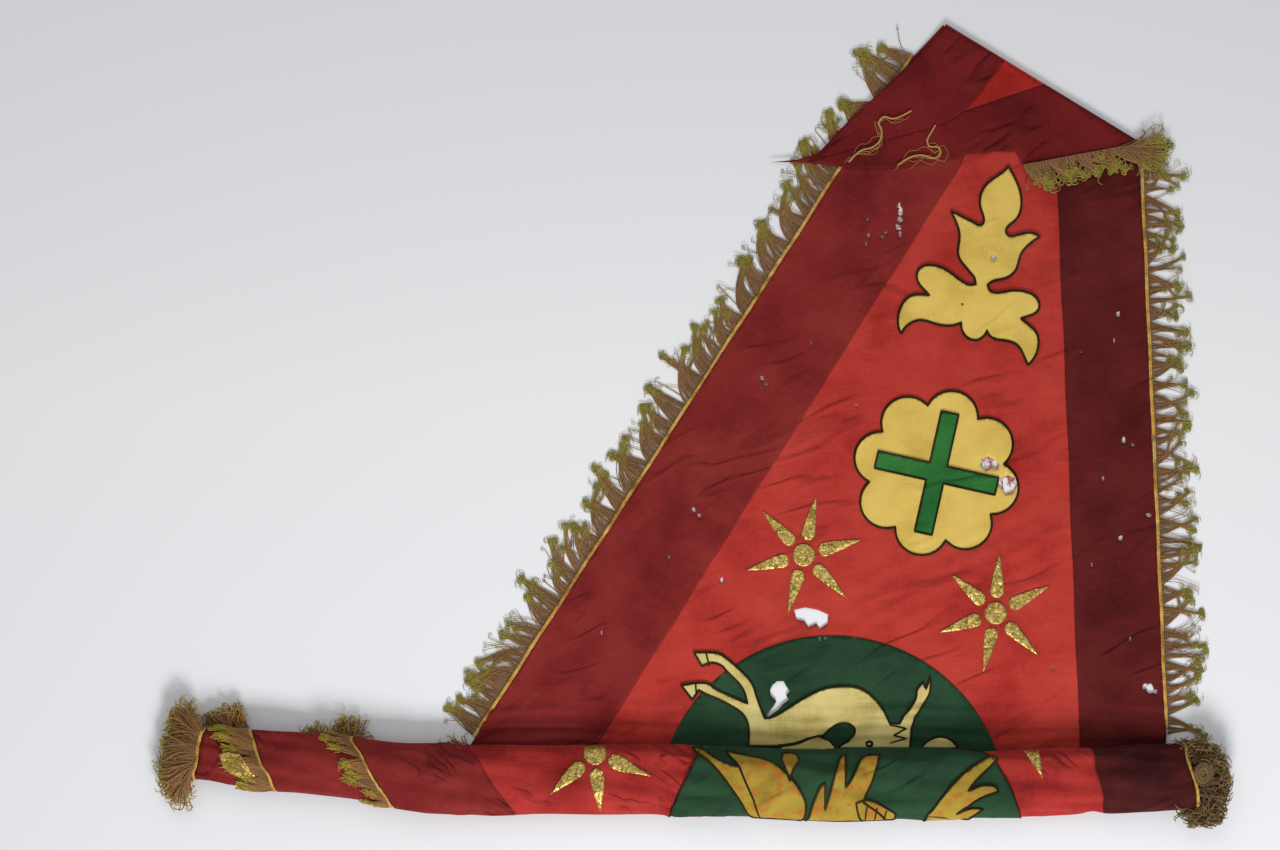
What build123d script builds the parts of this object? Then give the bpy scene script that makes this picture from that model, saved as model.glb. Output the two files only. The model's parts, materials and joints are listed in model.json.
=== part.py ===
from build123d import *

import math
import os

# A triangular processional pennant of red cloth with burgundy borders, gold fringe and applied
# motifs.  It lies face up on a flat surface: the wide end is rolled up from below, so the roll
# shows the reverse, and the tip is folded over onto the face.  Millimetres, +X to the right,
# +Y towards the fold, +Z up, z = 0 on the surface, origin at the middle of the whole outline.

# ---- driving sizes ------------------------------------------------------------------------
CLOTH_T = 1.2  # body cloth, two plies
APPLIQUE_T = 0.8  # gilded or green cloth sewn on
OUTLINE_W = 4.0  # couched cord round a motif
OUTLINE_T = 1.4
HEADING_W = 7.0  # woven heading that carries the fringe
HEADING_T = 2.4
FRINGE_L = 62.0  # strands, below the heading
FRINGE_T = 4.0
LAYER_GAP = 0.4  # between the fold's layers
THREAD_D = 2.0  # loose gold thread

FOOT_Y = -391.0  # where the face meets the roll
LEFT_FOOT_X = -274.0
LEFT_SLOPE = 0.643  # sideways travel of the left edge for each unit up
RIGHT_FOOT_X = 592.0
RIGHT_SLOPE = -0.044
LEFT_BORDER = 141.0  # border widths, measured along the roll
RIGHT_BORDER = 106.0
LEFT_SEAM_SLOPE = 0.651
RIGHT_SEAM_SLOPE = -0.042

CREASE_TOP_Y = 505.0
CREASE_TOP_IN = 11.87  # the left edge runs in a little before it reaches the crease
CREASE_ANGLE = -31.3
CREASE_SEAMS = (89.0, 145.0)  # where the two seams reach the crease
SEAM_TOP_Y = 330.0
FRINGE_TOP_Y = 467.0

ROLL_H = 42.0
WINDING_T = 3.0  # one winding with the air it holds
ROLL_GAP = 0.1
# place along the roll, the roll's middle line and its half width there
ROLL_STATIONS = [
    (-640.0, FOOT_Y - 7, 38.0),
    (-333.0, FOOT_Y - 44, 44.0),
    (-64.0, FOOT_Y - 44, 44.0),
    (198.0, FOOT_Y - 51, 44.0),
    (398.0, FOOT_Y - 48, 42.0),
    (RIGHT_FOOT_X + 48, FOOT_Y - 39, 42.0),
]
# each cut across the roll: place on the middle line, sideways travel for each unit up
END_LEFT_CUT = (-609.0, 0.15)
MIDDLE_CUT = (-529.0, -0.40)
OUTER_CUT = (-392.0, -0.62)
LEFT_SEAM_CUT = (LEFT_FOOT_X + 27, -0.645)
RIGHT_SEAM_CUT = (RIGHT_FOOT_X - RIGHT_BORDER + 17, -0.19)
END_RIGHT_CUT = (RIGHT_FOOT_X + 24, -0.21)
WRAP_FRINGE_L = 38.0  # fringe lying round the next winding
LEFT_TUFT_L = 54.0
LEFT_TUFT_W = 112.0
RIGHT_TUFT_L = 47.0
RIGHT_TUFT_W = 128.0
RIGHT_TUFT_DROP = 10.0  # the right bunch spills towards the front
TUFT_H = 46.0

FLOWER_AT = (356.0, FOOT_Y + 571)
ROSETTE_AT = (306.0, FOOT_Y + 336)
ROSETTE_LOBE_R = 33.0
ROSETTE_LOBE_AT = 72.0
ROSETTE_TURN = -15.0
CROSS_BAR = 22.0
CROSS_UP = 154.0
CROSS_ACROSS = 154.0
CROSS_TURN = -12.6
STAR_LEFT_AT = (140.0, FOOT_Y + 233.5)
STAR_LEFT_PETALS = [78, 15, -45, -105, -165, 133]
STAR_RIGHT_AT = (380.0, FOOT_Y + 161)
STAR_RIGHT_PETALS = [87, 27, -45, -102, -161, 139]
STAR_ROLLED_AT = (-120.0, FOOT_Y - 9)
STAR_ROLLED_PETALS = [-138, -85, -22]
DISC_R = 14.0
PETAL_FROM = 19.0
PETAL_TO = 75.0
PETAL_R = 8.5
PETAL_WAIST = 0.6  # of its half width, halfway to the tip
ROUNDEL_AT = (175.0, FOOT_Y - 86)
ROUNDEL_R = 219.0
ROUNDEL_FOOT_GAP = 9.0  # its lower edge stops short of the roll
HALF_DISC_AT = (135.0, 68.0)
HALF_DISC_R = 25.0
HALF_DISC_BASE = 10.0  # below its centre
ROLL_CLEAR = 6.0  # from the foot line to the start of a fringe
RIGHT_FRINGE_LIFT = 12.0  # the right one starts higher
RIGHT_FRINGE_END = 10.0  # and stops short of the crease
MOTIF_FOOT_Y = -391.0  # foot line that the rolled motifs' outlines are given for
THREAD_CREASE_TOP = (314.0, 505.0)  # crease end that the threads' routes are given for

# ---- values that follow -------------------------------------------------------------------
FLAP_Z = FRINGE_T + LAYER_GAP
CREASE_Z = (FLAP_Z + CLOTH_T) / 2
FLAP_TOP = FLAP_Z + CLOTH_T
TIP_FRINGE_Z = CLOTH_T + OUTLINE_T + LAYER_GAP  # clear of the motifs' cords
ROLL_MID_Z = ROLL_H / 2


def left_edge(y):
    """x of the left edge of the cloth at height y."""
    return LEFT_FOOT_X + LEFT_SLOPE * (y - FOOT_Y)


def right_edge(y):
    """x of the right edge of the cloth at height y."""
    return RIGHT_FOOT_X + RIGHT_SLOPE * (y - FOOT_Y)


def left_seam(y):
    """x of the seam between the left border and the field."""
    return LEFT_FOOT_X + LEFT_BORDER + LEFT_SEAM_SLOPE * (y - FOOT_Y)


def right_seam(y):
    """x of the seam between the field and the right border."""
    return RIGHT_FOOT_X - RIGHT_BORDER + RIGHT_SEAM_SLOPE * (y - FOOT_Y)


CREASE_TOP = (left_edge(CREASE_TOP_Y) + CREASE_TOP_IN, CREASE_TOP_Y)


def on_crease(distance):
    """The point on the crease this far from its upper end."""
    turn = math.radians(CREASE_ANGLE)
    return (CREASE_TOP[0] + distance * math.cos(turn), CREASE_TOP[1] + distance * math.sin(turn))


def crease_end():
    """Distance along the crease at which it meets the right edge."""
    turn = math.radians(CREASE_ANGLE)
    start = right_edge(CREASE_TOP[1]) - CREASE_TOP[0]
    return start / (math.cos(turn) - RIGHT_SLOPE * math.sin(turn))


def roll_line(x):
    """The roll's middle line and half width at x, straight from station to station."""
    for (x0, y0, w0), (x1, y1, w1) in zip(ROLL_STATIONS, ROLL_STATIONS[1:]):
        if x <= x1:
            break
    share = (x - x0) / (x1 - x0)
    return y0 + share * (y1 - y0), w0 + share * (w1 - w0)


def roll_foot(x):
    """y at which the flat cloth slips under the roll with LAYER_GAP above it."""
    middle, half = roll_line(x)
    lift = 1 - (CLOTH_T + LAYER_GAP) / ROLL_MID_Z
    return middle + half * math.sqrt(1 - lift**2)


def foot_points(x_from, x_to, shift=0.0):
    """The cloth's lower end between two places, following the roll."""
    inner = [s[0] for s in ROLL_STATIONS if x_from < s[0] < x_to]
    return [(x, roll_foot(x) + shift) for x in [x_from, *inner, x_to]]


def slab(outline, z, thick):
    """A flat piece with straight sides, from z upwards."""
    with BuildPart() as piece:
        with BuildSketch(Plane.XY.offset(z)):
            with BuildLine():
                Polyline(*outline, close=True)
            make_face()
        extrude(amount=thick)
    return piece.part


def cut_piece(outline_face, z, thick):
    """A flat piece of a ready outline, from z upwards."""
    with BuildPart() as piece:
        with BuildSketch(Plane.XY.offset(z)):
            add(outline_face)
        extrude(amount=thick)
    return piece.part


def band(foot, top, near, far):
    """Outline of a strip beside the edge foot-top, on its left when near is positive."""
    length = math.dist(foot, top)
    nx = -(top[1] - foot[1]) / length
    ny = (top[0] - foot[0]) / length
    return [
        (foot[0] + nx * near, foot[1] + ny * near),
        (top[0] + nx * near, top[1] + ny * near),
        (top[0] + nx * far, top[1] + ny * far),
        (foot[0] + nx * far, foot[1] + ny * far),
    ]


def write(block, label):
    """Names a finished piece and writes its file."""
    block.part.label = label
    export_step(block.part, f"parts/{label}.step")


CREASE_LENGTH = crease_end()
os.makedirs("parts", exist_ok=True)

# ---- the flat cloth -----------------------------------------------------------------------
left_foot = (left_edge(roll_foot(LEFT_FOOT_X)), roll_foot(LEFT_FOOT_X))
right_foot = (right_edge(roll_foot(RIGHT_FOOT_X)), roll_foot(RIGHT_FOOT_X))
seam_left_foot = left_seam(FOOT_Y)
seam_right_foot = right_seam(FOOT_Y)
crease_left, crease_right = (on_crease(d) for d in CREASE_SEAMS)
left_border_outline = [
    left_foot,
    *foot_points(left_foot[0] + 1, seam_left_foot),
    (left_seam(SEAM_TOP_Y), SEAM_TOP_Y),
    crease_left,
    CREASE_TOP,
    (left_edge(FRINGE_TOP_Y), FRINGE_TOP_Y),
]
field_outline = [
    *foot_points(seam_left_foot, seam_right_foot),
    (right_seam(SEAM_TOP_Y), SEAM_TOP_Y),
    crease_right,
    crease_left,
    (left_seam(SEAM_TOP_Y), SEAM_TOP_Y),
]
right_border_outline = [
    *foot_points(seam_right_foot, RIGHT_FOOT_X)[:-1],
    right_foot,
    on_crease(CREASE_LENGTH),
    crease_right,
    (right_seam(SEAM_TOP_Y), SEAM_TOP_Y),
]

with BuildPart() as left_border:
    add(slab(left_border_outline, 0, CLOTH_T))
write(left_border, "left_border")

with BuildPart() as field:
    add(slab(field_outline, 0, CLOTH_T))
write(field, "field")

with BuildPart() as right_border:
    add(slab(right_border_outline, 0, CLOTH_T))
write(right_border, "right_border")

# ---- headings and fringes of the two long edges ---------------------------------------------
roll_clear_y = FOOT_Y + ROLL_CLEAR
left_run = [(left_edge(y), y) for y in (roll_clear_y, FRINGE_TOP_Y)]
right_top_y = on_crease(CREASE_LENGTH)[1] - RIGHT_FRINGE_END
right_run = [(right_edge(y), y) for y in (roll_clear_y + RIGHT_FRINGE_LIFT, right_top_y)]

with BuildPart() as left_heading:
    add(slab(band(*left_run, 0, HEADING_W), 0, HEADING_T))
write(left_heading, "left_heading")

with BuildPart() as left_fringe:
    add(slab(band(*left_run, HEADING_W, HEADING_W + FRINGE_L), 0, FRINGE_T))
write(left_fringe, "left_fringe")

with BuildPart() as right_heading:
    add(slab(band(*right_run, 0, -HEADING_W), 0, HEADING_T))
write(right_heading, "right_heading")

with BuildPart() as right_fringe:
    add(slab(band(*right_run, -HEADING_W, -HEADING_W - FRINGE_L), 0, FRINGE_T))
write(right_fringe, "right_fringe")


# ---- motifs of the face -------------------------------------------------------------------
def at(centre, points):
    """Points given from a motif's own centre."""
    return [(centre[0] + x, centre[1] + y) for x, y in points]


def petal_star(petals):
    """Six foil petals and a disc, round the origin, as one sketch of separate shapes."""
    shoulder = PETAL_FROM + PETAL_R  # the round inner end runs out into the sides here
    waist = ((shoulder + PETAL_TO) / 2, PETAL_WAIST * PETAL_R)
    with BuildSketch() as star:
        Circle(DISC_R)
        for turn in petals:
            with BuildLine(Plane.XY.rotated((0, 0, turn))):
                ThreePointArc((shoulder, PETAL_R), (PETAL_FROM, 0), (shoulder, -PETAL_R))
                Spline((shoulder, -PETAL_R), (waist[0], -waist[1]), (PETAL_TO, 0))
                Spline((PETAL_TO, 0), waist, (shoulder, PETAL_R))
            make_face()
    return star.sketch


FLOWER = [
    [
        (40, 148), (50, 129), (56, 108), (55, 93), (48, 80), (38, 72), (36, 67), (40, 61),
        (50, 62), (62, 65), (79, 60),
    ],
    [
        (79, 60), (65, 50), (55, 38), (50, 20), (41, 10), (25, 6), (15, 2), (13, -4),
        (18, -9), (38, -8), (59, -8), (73, -14), (79, -25), (76, -34), (65, -39),
        (55, -42),
    ],
    [
        (55, -42), (65, -50), (76, -63), (77, -75), (74, -87), (64, -100),
    ],
    [
        (64, -100), (59, -89), (50, -75), (38, -70), (19, -66), (13, -57),
    ],
    [
        (13, -57), (9, -64), (1, -69), (-8, -68), (-16, -61), (-19, -47),
    ],
    [
        (-19, -47), (-38, -51), (-57, -47), (-69, -44), (-81, -47), (-94, -61),
    ],
    [
        (-94, -61), (-98, -50), (-97, -35), (-90, -20), (-80, -13), (-70, -12), (-59, -13),
    ],
    [
        (-59, -13), (-67, -5), (-74, 4), (-75, 15), (-69, 23), (-57, 25), (-42, 21),
        (-26, 10), (-11, 0), (-3, -1), (0, 3), (-5, 12), (-17, 26), (-23, 35), (-23, 47),
        (-21, 62), (-25, 77), (-32, 92),
    ],
    [
        (-32, 92), (-14, 83), (-2, 77), (6, 74), (9, 78), (7, 90), (4, 102), (6, 115),
        (16, 129), (29, 138), (40, 148),
    ],
]
LEAF_STEPS = 24  # straight steps that follow each curved side of the flower
flower_outline = []
for leaf in FLOWER:
    with BuildLine():
        side = Spline(*at(FLOWER_AT, leaf))
    flower_outline += [side @ (step / LEAF_STEPS) for step in range(LEAF_STEPS)]
with BuildSketch() as flower_face:
    with BuildLine():
        Polyline(*flower_outline, close=True)
    make_face()

with BuildSketch() as rosette_face:
    with Locations(ROSETTE_AT):
        Circle(ROSETTE_LOBE_AT)
        with PolarLocations(ROSETTE_LOBE_AT, 8, start_angle=ROSETTE_TURN):
            Circle(ROSETTE_LOBE_R)

with BuildSketch() as cross_face:
    with Locations(Location((*ROSETTE_AT, 0), (0, 0, CROSS_TURN))):
        Rectangle(CROSS_BAR, CROSS_UP)
        Rectangle(CROSS_ACROSS, CROSS_BAR)


def applied(face):
    """Puts a motif on the face of the cloth, in the part being built."""
    add(cut_piece(face, CLOTH_T, APPLIQUE_T))


def outlined(face):
    """Puts the couched cord round a motif, outside it, in the part being built."""
    grown = offset(face, OUTLINE_W, kind=Kind.ARC, mode=Mode.PRIVATE)
    add(cut_piece(grown, CLOTH_T, OUTLINE_T))
    add(cut_piece(face, CLOTH_T, OUTLINE_T), mode=Mode.SUBTRACT)


with BuildPart() as flower:
    applied(flower_face.sketch)
write(flower, "flower")

with BuildPart() as flower_cord:
    outlined(flower_face.sketch)
write(flower_cord, "flower_cord")

with BuildPart() as rosette:
    applied(rosette_face.sketch)
write(rosette, "rosette")

with BuildPart() as rosette_cord:
    outlined(rosette_face.sketch)
write(rosette_cord, "rosette_cord")

with BuildPart() as cross:
    add(cut_piece(cross_face.sketch, CLOTH_T + APPLIQUE_T, APPLIQUE_T))
write(cross, "cross")

stars = {
    "star_left": (STAR_LEFT_AT, STAR_LEFT_PETALS),
    "star_right": (STAR_RIGHT_AT, STAR_RIGHT_PETALS),
}
for label, (centre, petals) in stars.items():
    with BuildPart() as foil_star:
        applied(Pos(*centre) * petal_star(petals))
    write(foil_star, label)

# The roundel stops where it goes under the roll.
ANIMAL = [
    (-172, 198), (-145, 198), (-135, 194), (-113, 175), (-99, 160), (-94, 143), (-84, 116),
    (-72, 117), (-46, 134), (-24, 147), (-3, 155), (26, 156), (42, 150), (55, 139), (66, 124),
    (72, 110), (84, 109), (90, 120), (101, 132), (106, 142), (106, 152), (114, 160), (118, 152),
    (123, 168), (124, 148), (114, 132), (104, 118), (99, 102), (98, 78), (6, 78), (24, 91),
    (30, 100), (26, 108), (13, 111), (-1, 105), (-10, 94), (-22, 94), (-48, 81), (-104, 81),
    (-103, 108), (-112, 124), (-140, 139), (-158, 146), (-166, 151), (-174, 139), (-188, 157),
    (-170, 160), (-154, 160), (-146, 152), (-126, 143), (-105, 134), (-110, 154), (-131, 174),
    (-137, 182), (-150, 186), (-162, 181),
]
with BuildSketch() as animal_face:
    with BuildLine():
        Polyline(*at(ROUNDEL_AT, ANIMAL), close=True)
    make_face()

foot_line = foot_points(*(ROUNDEL_AT[0] + s * (ROUNDEL_R + 60) for s in (-1, 1)))
with BuildPart() as roundel:
    with BuildSketch(Plane.XY.offset(CLOTH_T)):
        with Locations(ROUNDEL_AT):
            Circle(ROUNDEL_R)
        with BuildLine():
            lifted = [(x, y + ROUNDEL_FOOT_GAP) for x, y in foot_line]
            Polyline(*lifted, (lifted[-1][0], -900), (lifted[0][0], -900), close=True)
        make_face(mode=Mode.SUBTRACT)
    extrude(amount=APPLIQUE_T)
write(roundel, "roundel")

with BuildPart() as animal:
    add(cut_piece(animal_face.sketch, CLOTH_T + APPLIQUE_T, APPLIQUE_T))
write(animal, "animal")

with BuildPart() as half_disc:
    with BuildSketch(Plane.XY.offset(CLOTH_T + APPLIQUE_T)):
        with Locations(at(ROUNDEL_AT, [HALF_DISC_AT])[0]):
            Circle(HALF_DISC_R)
            with Locations((0, HALF_DISC_BASE - HALF_DISC_R)):
                Rectangle(4 * HALF_DISC_R, 2 * HALF_DISC_R, mode=Mode.SUBTRACT)
    extrude(amount=APPLIQUE_T)
write(half_disc, "half_disc")


# ---- the roll -----------------------------------------------------------------------------
def roll_form(inset):
    """The roll's outer form, drawn in by inset all round."""
    with BuildPart() as form:
        for x, y, half in ROLL_STATIONS:
            section = Plane(origin=(x, y, ROLL_MID_Z), x_dir=(0, 1, 0), z_dir=(1, 0, 0))
            with BuildSketch(section):
                Ellipse(half - inset, ROLL_MID_Z - inset)
        loft(ruled=True)
    return form.part


def cut_plane(cut, shift=0.0):
    """The upright plane of a cut across the roll, facing right."""
    place, lean = cut
    return Plane(
        origin=(place + shift, roll_line(place)[0], 0), x_dir=(lean, 1, 0), z_dir=(1, -lean, 0)
    )


def keep_between(left_cut, right_cut, left_shift=0.0, right_shift=0.0):
    """Trims the part being built to the length between two cuts."""
    split(bisect_by=cut_plane(left_cut, left_shift), keep=Keep.TOP)
    split(bisect_by=cut_plane(right_cut, right_shift), keep=Keep.BOTTOM)


outer_form = roll_form(0)
outer_hollow = roll_form(WINDING_T)
middle_form = roll_form(WINDING_T + ROLL_GAP)
middle_hollow = roll_form(2 * WINDING_T)
core_form = roll_form(2 * WINDING_T + ROLL_GAP)

rolled_panels = {
    "rolled_left_border": (OUTER_CUT, LEFT_SEAM_CUT),
    "rolled_field": (LEFT_SEAM_CUT, RIGHT_SEAM_CUT),
    "rolled_right_border": (RIGHT_SEAM_CUT, END_RIGHT_CUT),
}
for label, cuts in rolled_panels.items():
    with BuildPart() as panel:
        add(outer_form)
        add(outer_hollow, mode=Mode.SUBTRACT)
        keep_between(*cuts)
    write(panel, label)

with BuildPart() as middle_winding:
    add(middle_form)
    add(middle_hollow, mode=Mode.SUBTRACT)
    keep_between(MIDDLE_CUT, END_RIGHT_CUT)
write(middle_winding, "middle_winding")

with BuildPart() as inner_windings:
    add(core_form)
    keep_between(END_LEFT_CUT, END_RIGHT_CUT)
write(inner_windings, "inner_windings")

# Fringed edges of the windings: a heading ring on each, its fringe round the next winding in.
wrapped_edges = {
    "outer_wrap": (OUTER_CUT, outer_form, middle_form),
    "middle_wrap": (MIDDLE_CUT, middle_form, core_form),
}
for label, (cut, skin, inside) in wrapped_edges.items():
    with BuildPart() as wrap_heading:
        add(skin)
        add(inside, mode=Mode.SUBTRACT)
        keep_between(cut, cut, -HEADING_W, 0)
    write(wrap_heading, f"{label}_heading")
    with BuildPart() as wrap_fringe:
        add(skin)
        add(inside, mode=Mode.SUBTRACT)
        keep_between(cut, cut, -HEADING_W - WRAP_FRINGE_L, -HEADING_W)
    write(wrap_fringe, f"{label}_fringe")


def tuft(cut, width, length, side, drop=0.0):
    """A bunch of coiled fringe at an end of the roll, in the part being built."""
    place = cut[0] + side * HEADING_W
    middle = roll_line(place)[0] - drop
    with BuildPart() as bunch:
        for share, size in ((-0.3, 0.8), (0.35, 1.0), (1.0, 0.8)):
            across = Plane(
                origin=(place + side * share * length, middle, TUFT_H / 2),
                x_dir=(0, 1, 0),
                z_dir=(side, 0, 0),
            )
            with BuildSketch(across):
                Ellipse(width / 2 * size, TUFT_H / 2 * size)
        loft()
        keep = Keep.TOP if side > 0 else Keep.BOTTOM
        split(bisect_by=cut_plane(cut, side * HEADING_W), keep=keep)
    add(bunch.part)


with BuildPart() as left_end_heading:
    add(core_form)
    keep_between(END_LEFT_CUT, END_LEFT_CUT, -HEADING_W, 0)
write(left_end_heading, "left_end_heading")

with BuildPart() as left_end_fringe:
    tuft(END_LEFT_CUT, LEFT_TUFT_W, LEFT_TUFT_L, -1)
write(left_end_fringe, "left_end_fringe")

with BuildPart() as right_end_heading:
    add(outer_form)
    keep_between(END_RIGHT_CUT, END_RIGHT_CUT, 0, HEADING_W)
write(right_end_heading, "right_end_heading")

with BuildPart() as right_end_fringe:
    tuft(END_RIGHT_CUT, RIGHT_TUFT_W, RIGHT_TUFT_L, 1, RIGHT_TUFT_DROP)
write(right_end_fringe, "right_end_fringe")


# ---- motifs on the roll -------------------------------------------------------------------
def roll_skin(layer):
    """One layer of applied cloth over the upper half of the roll; layer 0 is the lowest."""
    with BuildPart() as skin:
        add(roll_form(-(layer + 1) * APPLIQUE_T))
        add(roll_form(-layer * APPLIQUE_T), mode=Mode.SUBTRACT)
        split(bisect_by=Plane.XY.offset(ROLL_MID_Z), keep=Keep.TOP)
    return skin.part


def laid_on_roll(face, skin):
    """Lays a motif drawn from above on the roll, in the part being built."""
    add(skin)
    add(cut_piece(face, 0, 3 * ROLL_H), mode=Mode.INTERSECT)


motif_shift = (0, FOOT_Y - MOTIF_FOOT_Y)
first_skin = roll_skin(0)
second_skin = roll_skin(1)
ROLLED_EDGE = 20.0  # the rolled roundel's edge leans in as it goes under the roll
ROLLED_ABOVE = 30.0  # its outline runs past the roll above and below, and is trimmed by it
ROLLED_BELOW = 130.0
ROLLED_BELLY = 50.0  # it is widest this far below the foot line
ROLLED_BULGE_LEFT = 14.0
ROLLED_BULGE_RIGHT = 2.0
roundel_left = ROUNDEL_AT[0] - ROUNDEL_R + 22  # narrower here than on the face
roundel_right = ROUNDEL_AT[0] + ROUNDEL_R - 4
with BuildSketch() as rolled_roundel_face:
    with BuildLine():
        top_y = FOOT_Y + ROLLED_ABOVE
        low_y = FOOT_Y - ROLLED_BELOW
        Polyline((roundel_left + ROLLED_EDGE, top_y), (roundel_right - 2 * ROLLED_EDGE, top_y))
        ThreePointArc(
            (roundel_right - 2 * ROLLED_EDGE, top_y),
            (roundel_right + ROLLED_BULGE_RIGHT, FOOT_Y - ROLLED_BELLY),
            (roundel_right + ROLLED_EDGE, low_y),
        )
        Polyline((roundel_right + ROLLED_EDGE, low_y), (roundel_left - 2 * ROLLED_EDGE, low_y))
        ThreePointArc(
            (roundel_left - 2 * ROLLED_EDGE, low_y),
            (roundel_left - ROLLED_BULGE_LEFT, FOOT_Y - ROLLED_BELLY),
            (roundel_left + ROLLED_EDGE, top_y),
        )
    make_face()
with BuildPart() as rolled_roundel:
    laid_on_roll(rolled_roundel_face.sketch, first_skin)
write(rolled_roundel, "rolled_roundel")

LEAF = [
    (0, -396), (14, -396), (37, -413), (58, -418), (42, -398), (75, -403), (93, -408),
    (112, -420), (133, -443), (143, -468), (132, -500), (80, -500), (66, -470), (44, -436),
    (24, -414),
]
PALM = [
    (139, -500), (146, -470), (157, -440), (164, -437), (164, -470), (172, -440), (182, -404),
    (190, -403), (189, -442), (198, -430), (209, -404), (232, -404), (224, -431), (211, -460),
    (230, -473), (250, -500),
]
HAND = [
    (284, -500), (300, -463), (318, -441), (339, -420), (371, -404), (377, -410), (355, -428),
    (340, -446), (358, -438), (375, -440), (377, -447), (351, -455), (327, -476), (345, -466),
    (359, -467), (348, -478), (325, -500),
]
for label, outline in {"rolled_leaf": LEAF, "rolled_palm": PALM, "rolled_hand": HAND}.items():
    with BuildSketch() as motif_face:
        with BuildLine():
            Polyline(*at(motif_shift, outline), close=True)
        make_face()
    with BuildPart() as motif:
        laid_on_roll(motif_face.sketch, second_skin)
    write(motif, label)

with BuildPart() as rolled_star:
    laid_on_roll(Pos(*STAR_ROLLED_AT) * petal_star(STAR_ROLLED_PETALS), first_skin)
write(rolled_star, "rolled_star")

PETAL_SCRAP = [(409, -394), (429, -396), (432, -430)]
with BuildSketch() as scrap_face:
    with BuildLine():
        Polyline(*at(motif_shift, PETAL_SCRAP), close=True)
    make_face()
with BuildPart() as rolled_petal:
    laid_on_roll(scrap_face.sketch, first_skin)
write(rolled_petal, "rolled_petal")

# ---- the folded tip: along the crease, then away from it ------------------------------------
FLAP_LEFT_EDGE = [(-8, 56), (-24, 118), (-38, 164), (-49, 218), (-67, 238)]
FLAP_LOWER_EDGE = [(-10, 215), (44, 183), (94, 136), (130, 106), (160, 88), (178, 98)]
FIELD_POINT = (80, 78)
CENTRE_SEAM = [(71, 96), (56, 115), (-56, 235)]
TAIL = [FLAP_LEFT_EDGE[-1], (-95, 259), CENTRE_SEAM[-1]]
FLAP_CREASE = 286.9  # crease length that the lower edge is given for
lower_scale = CREASE_LENGTH / FLAP_CREASE
flap_lower_edge = [(along * lower_scale, away) for along, away in FLAP_LOWER_EDGE]
TIP_HEADING_SHARE = 0.93  # of the tip's fringed edge, from its lower end
TIP_FRINGE_L = 40.0


def flap_plane(z):
    """A level plane on the crease: x along it, y back over the flat cloth."""
    turn = math.radians(CREASE_ANGLE)
    return Plane(
        origin=(*CREASE_TOP, z), x_dir=(math.cos(turn), math.sin(turn), 0), z_dir=(0, 0, 1)
    )


def flap_slab(outline, z, thick):
    """A flat piece of the tip; outline gives distances along and away from the crease."""
    with BuildPart() as piece:
        with BuildSketch(flap_plane(z)):
            with BuildLine():
                Polyline(*[(along, -away) for along, away in outline], close=True)
            make_face()
        extrude(amount=thick)
    return piece.part


crease_gap = LAYER_GAP
tip_left_outline = [
    (4, crease_gap),
    (CREASE_SEAMS[0], crease_gap),
    FIELD_POINT,
    *CENTRE_SEAM,
    *FLAP_LEFT_EDGE[::-1],
]
tip_right_outline = [
    (CREASE_SEAMS[1], crease_gap),
    (CREASE_LENGTH, crease_gap),
    *flap_lower_edge[::-1],
    *CENTRE_SEAM[::-1],
    FIELD_POINT,
]
tip_field_outline = [(CREASE_SEAMS[0], crease_gap), (CREASE_SEAMS[1], crease_gap), FIELD_POINT]

with BuildPart() as tip_left_border:
    add(flap_slab(tip_left_outline, FLAP_Z, CLOTH_T))
write(tip_left_border, "tip_left_border")

with BuildPart() as tip_right_border:
    add(flap_slab(tip_right_outline, FLAP_Z, CLOTH_T))
write(tip_right_border, "tip_right_border")

with BuildPart() as tip_field:
    add(flap_slab(tip_field_outline, FLAP_Z, CLOTH_T))
write(tip_field, "tip_field")

with BuildPart() as tip_tail:
    add(flap_slab(TAIL, FLAP_Z, CLOTH_T))
write(tip_tail, "tip_tail")

heading_foot = flap_lower_edge[-1]
heading_top = (
    heading_foot[0] + TIP_HEADING_SHARE * (CREASE_LENGTH - heading_foot[0]),
    heading_foot[1] + TIP_HEADING_SHARE * (crease_gap - heading_foot[1]),
)
run_length = math.dist(heading_foot, heading_top)
out_along = (heading_top[1] - heading_foot[1]) / -run_length
out_away = (heading_top[0] - heading_foot[0]) / run_length


def beside_tip(near, far):
    """Outline of a strip outside the tip's fringed edge."""
    return [
        (along + out_along * off, away + out_away * off)
        for (along, away), off in (
            (heading_foot, near),
            (heading_top, near),
            (heading_top, far),
            (heading_foot, far),
        )
    ]


with BuildPart() as tip_heading:
    add(flap_slab(beside_tip(0, HEADING_W), FLAP_TOP - HEADING_T, HEADING_T))
write(tip_heading, "tip_heading")

with BuildPart() as tip_fringe:
    add(
        flap_slab(
            beside_tip(HEADING_W, HEADING_W + TIP_FRINGE_L),
            TIP_FRINGE_Z,
            FLAP_TOP - TIP_FRINGE_Z,
        )
    )
write(tip_fringe, "tip_fringe")

# Two gold threads that have come away lie loose on the folded tip.
LONG_THREAD = [
    (274, 397), (262, 390), (250, 386), (240, 391), (232, 383), (238, 371), (235, 358), (224, 350),
    (213, 349), (204, 342), (196, 333),
]
SHORT_THREAD = [
    (304, 379), (299, 370), (293, 361), (296, 351), (308, 353), (312, 344), (303, 336), (290, 342),
    (277, 341), (266, 336), (257, 329),
]


def thread_radii(points):
    """The largest arc that each corner's two runs allow."""
    radii = []
    for before, corner, after in zip(points, points[1:], points[2:]):
        run_in = Vector(*corner) - Vector(*before)
        run_out = Vector(*after) - Vector(*corner)
        turn = math.radians(run_in.get_angle(run_out))
        shorter = min(run_in.length, run_out.length)
        radii.append(0.45 * shorter / math.tan(turn / 2))
    return radii


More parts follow.
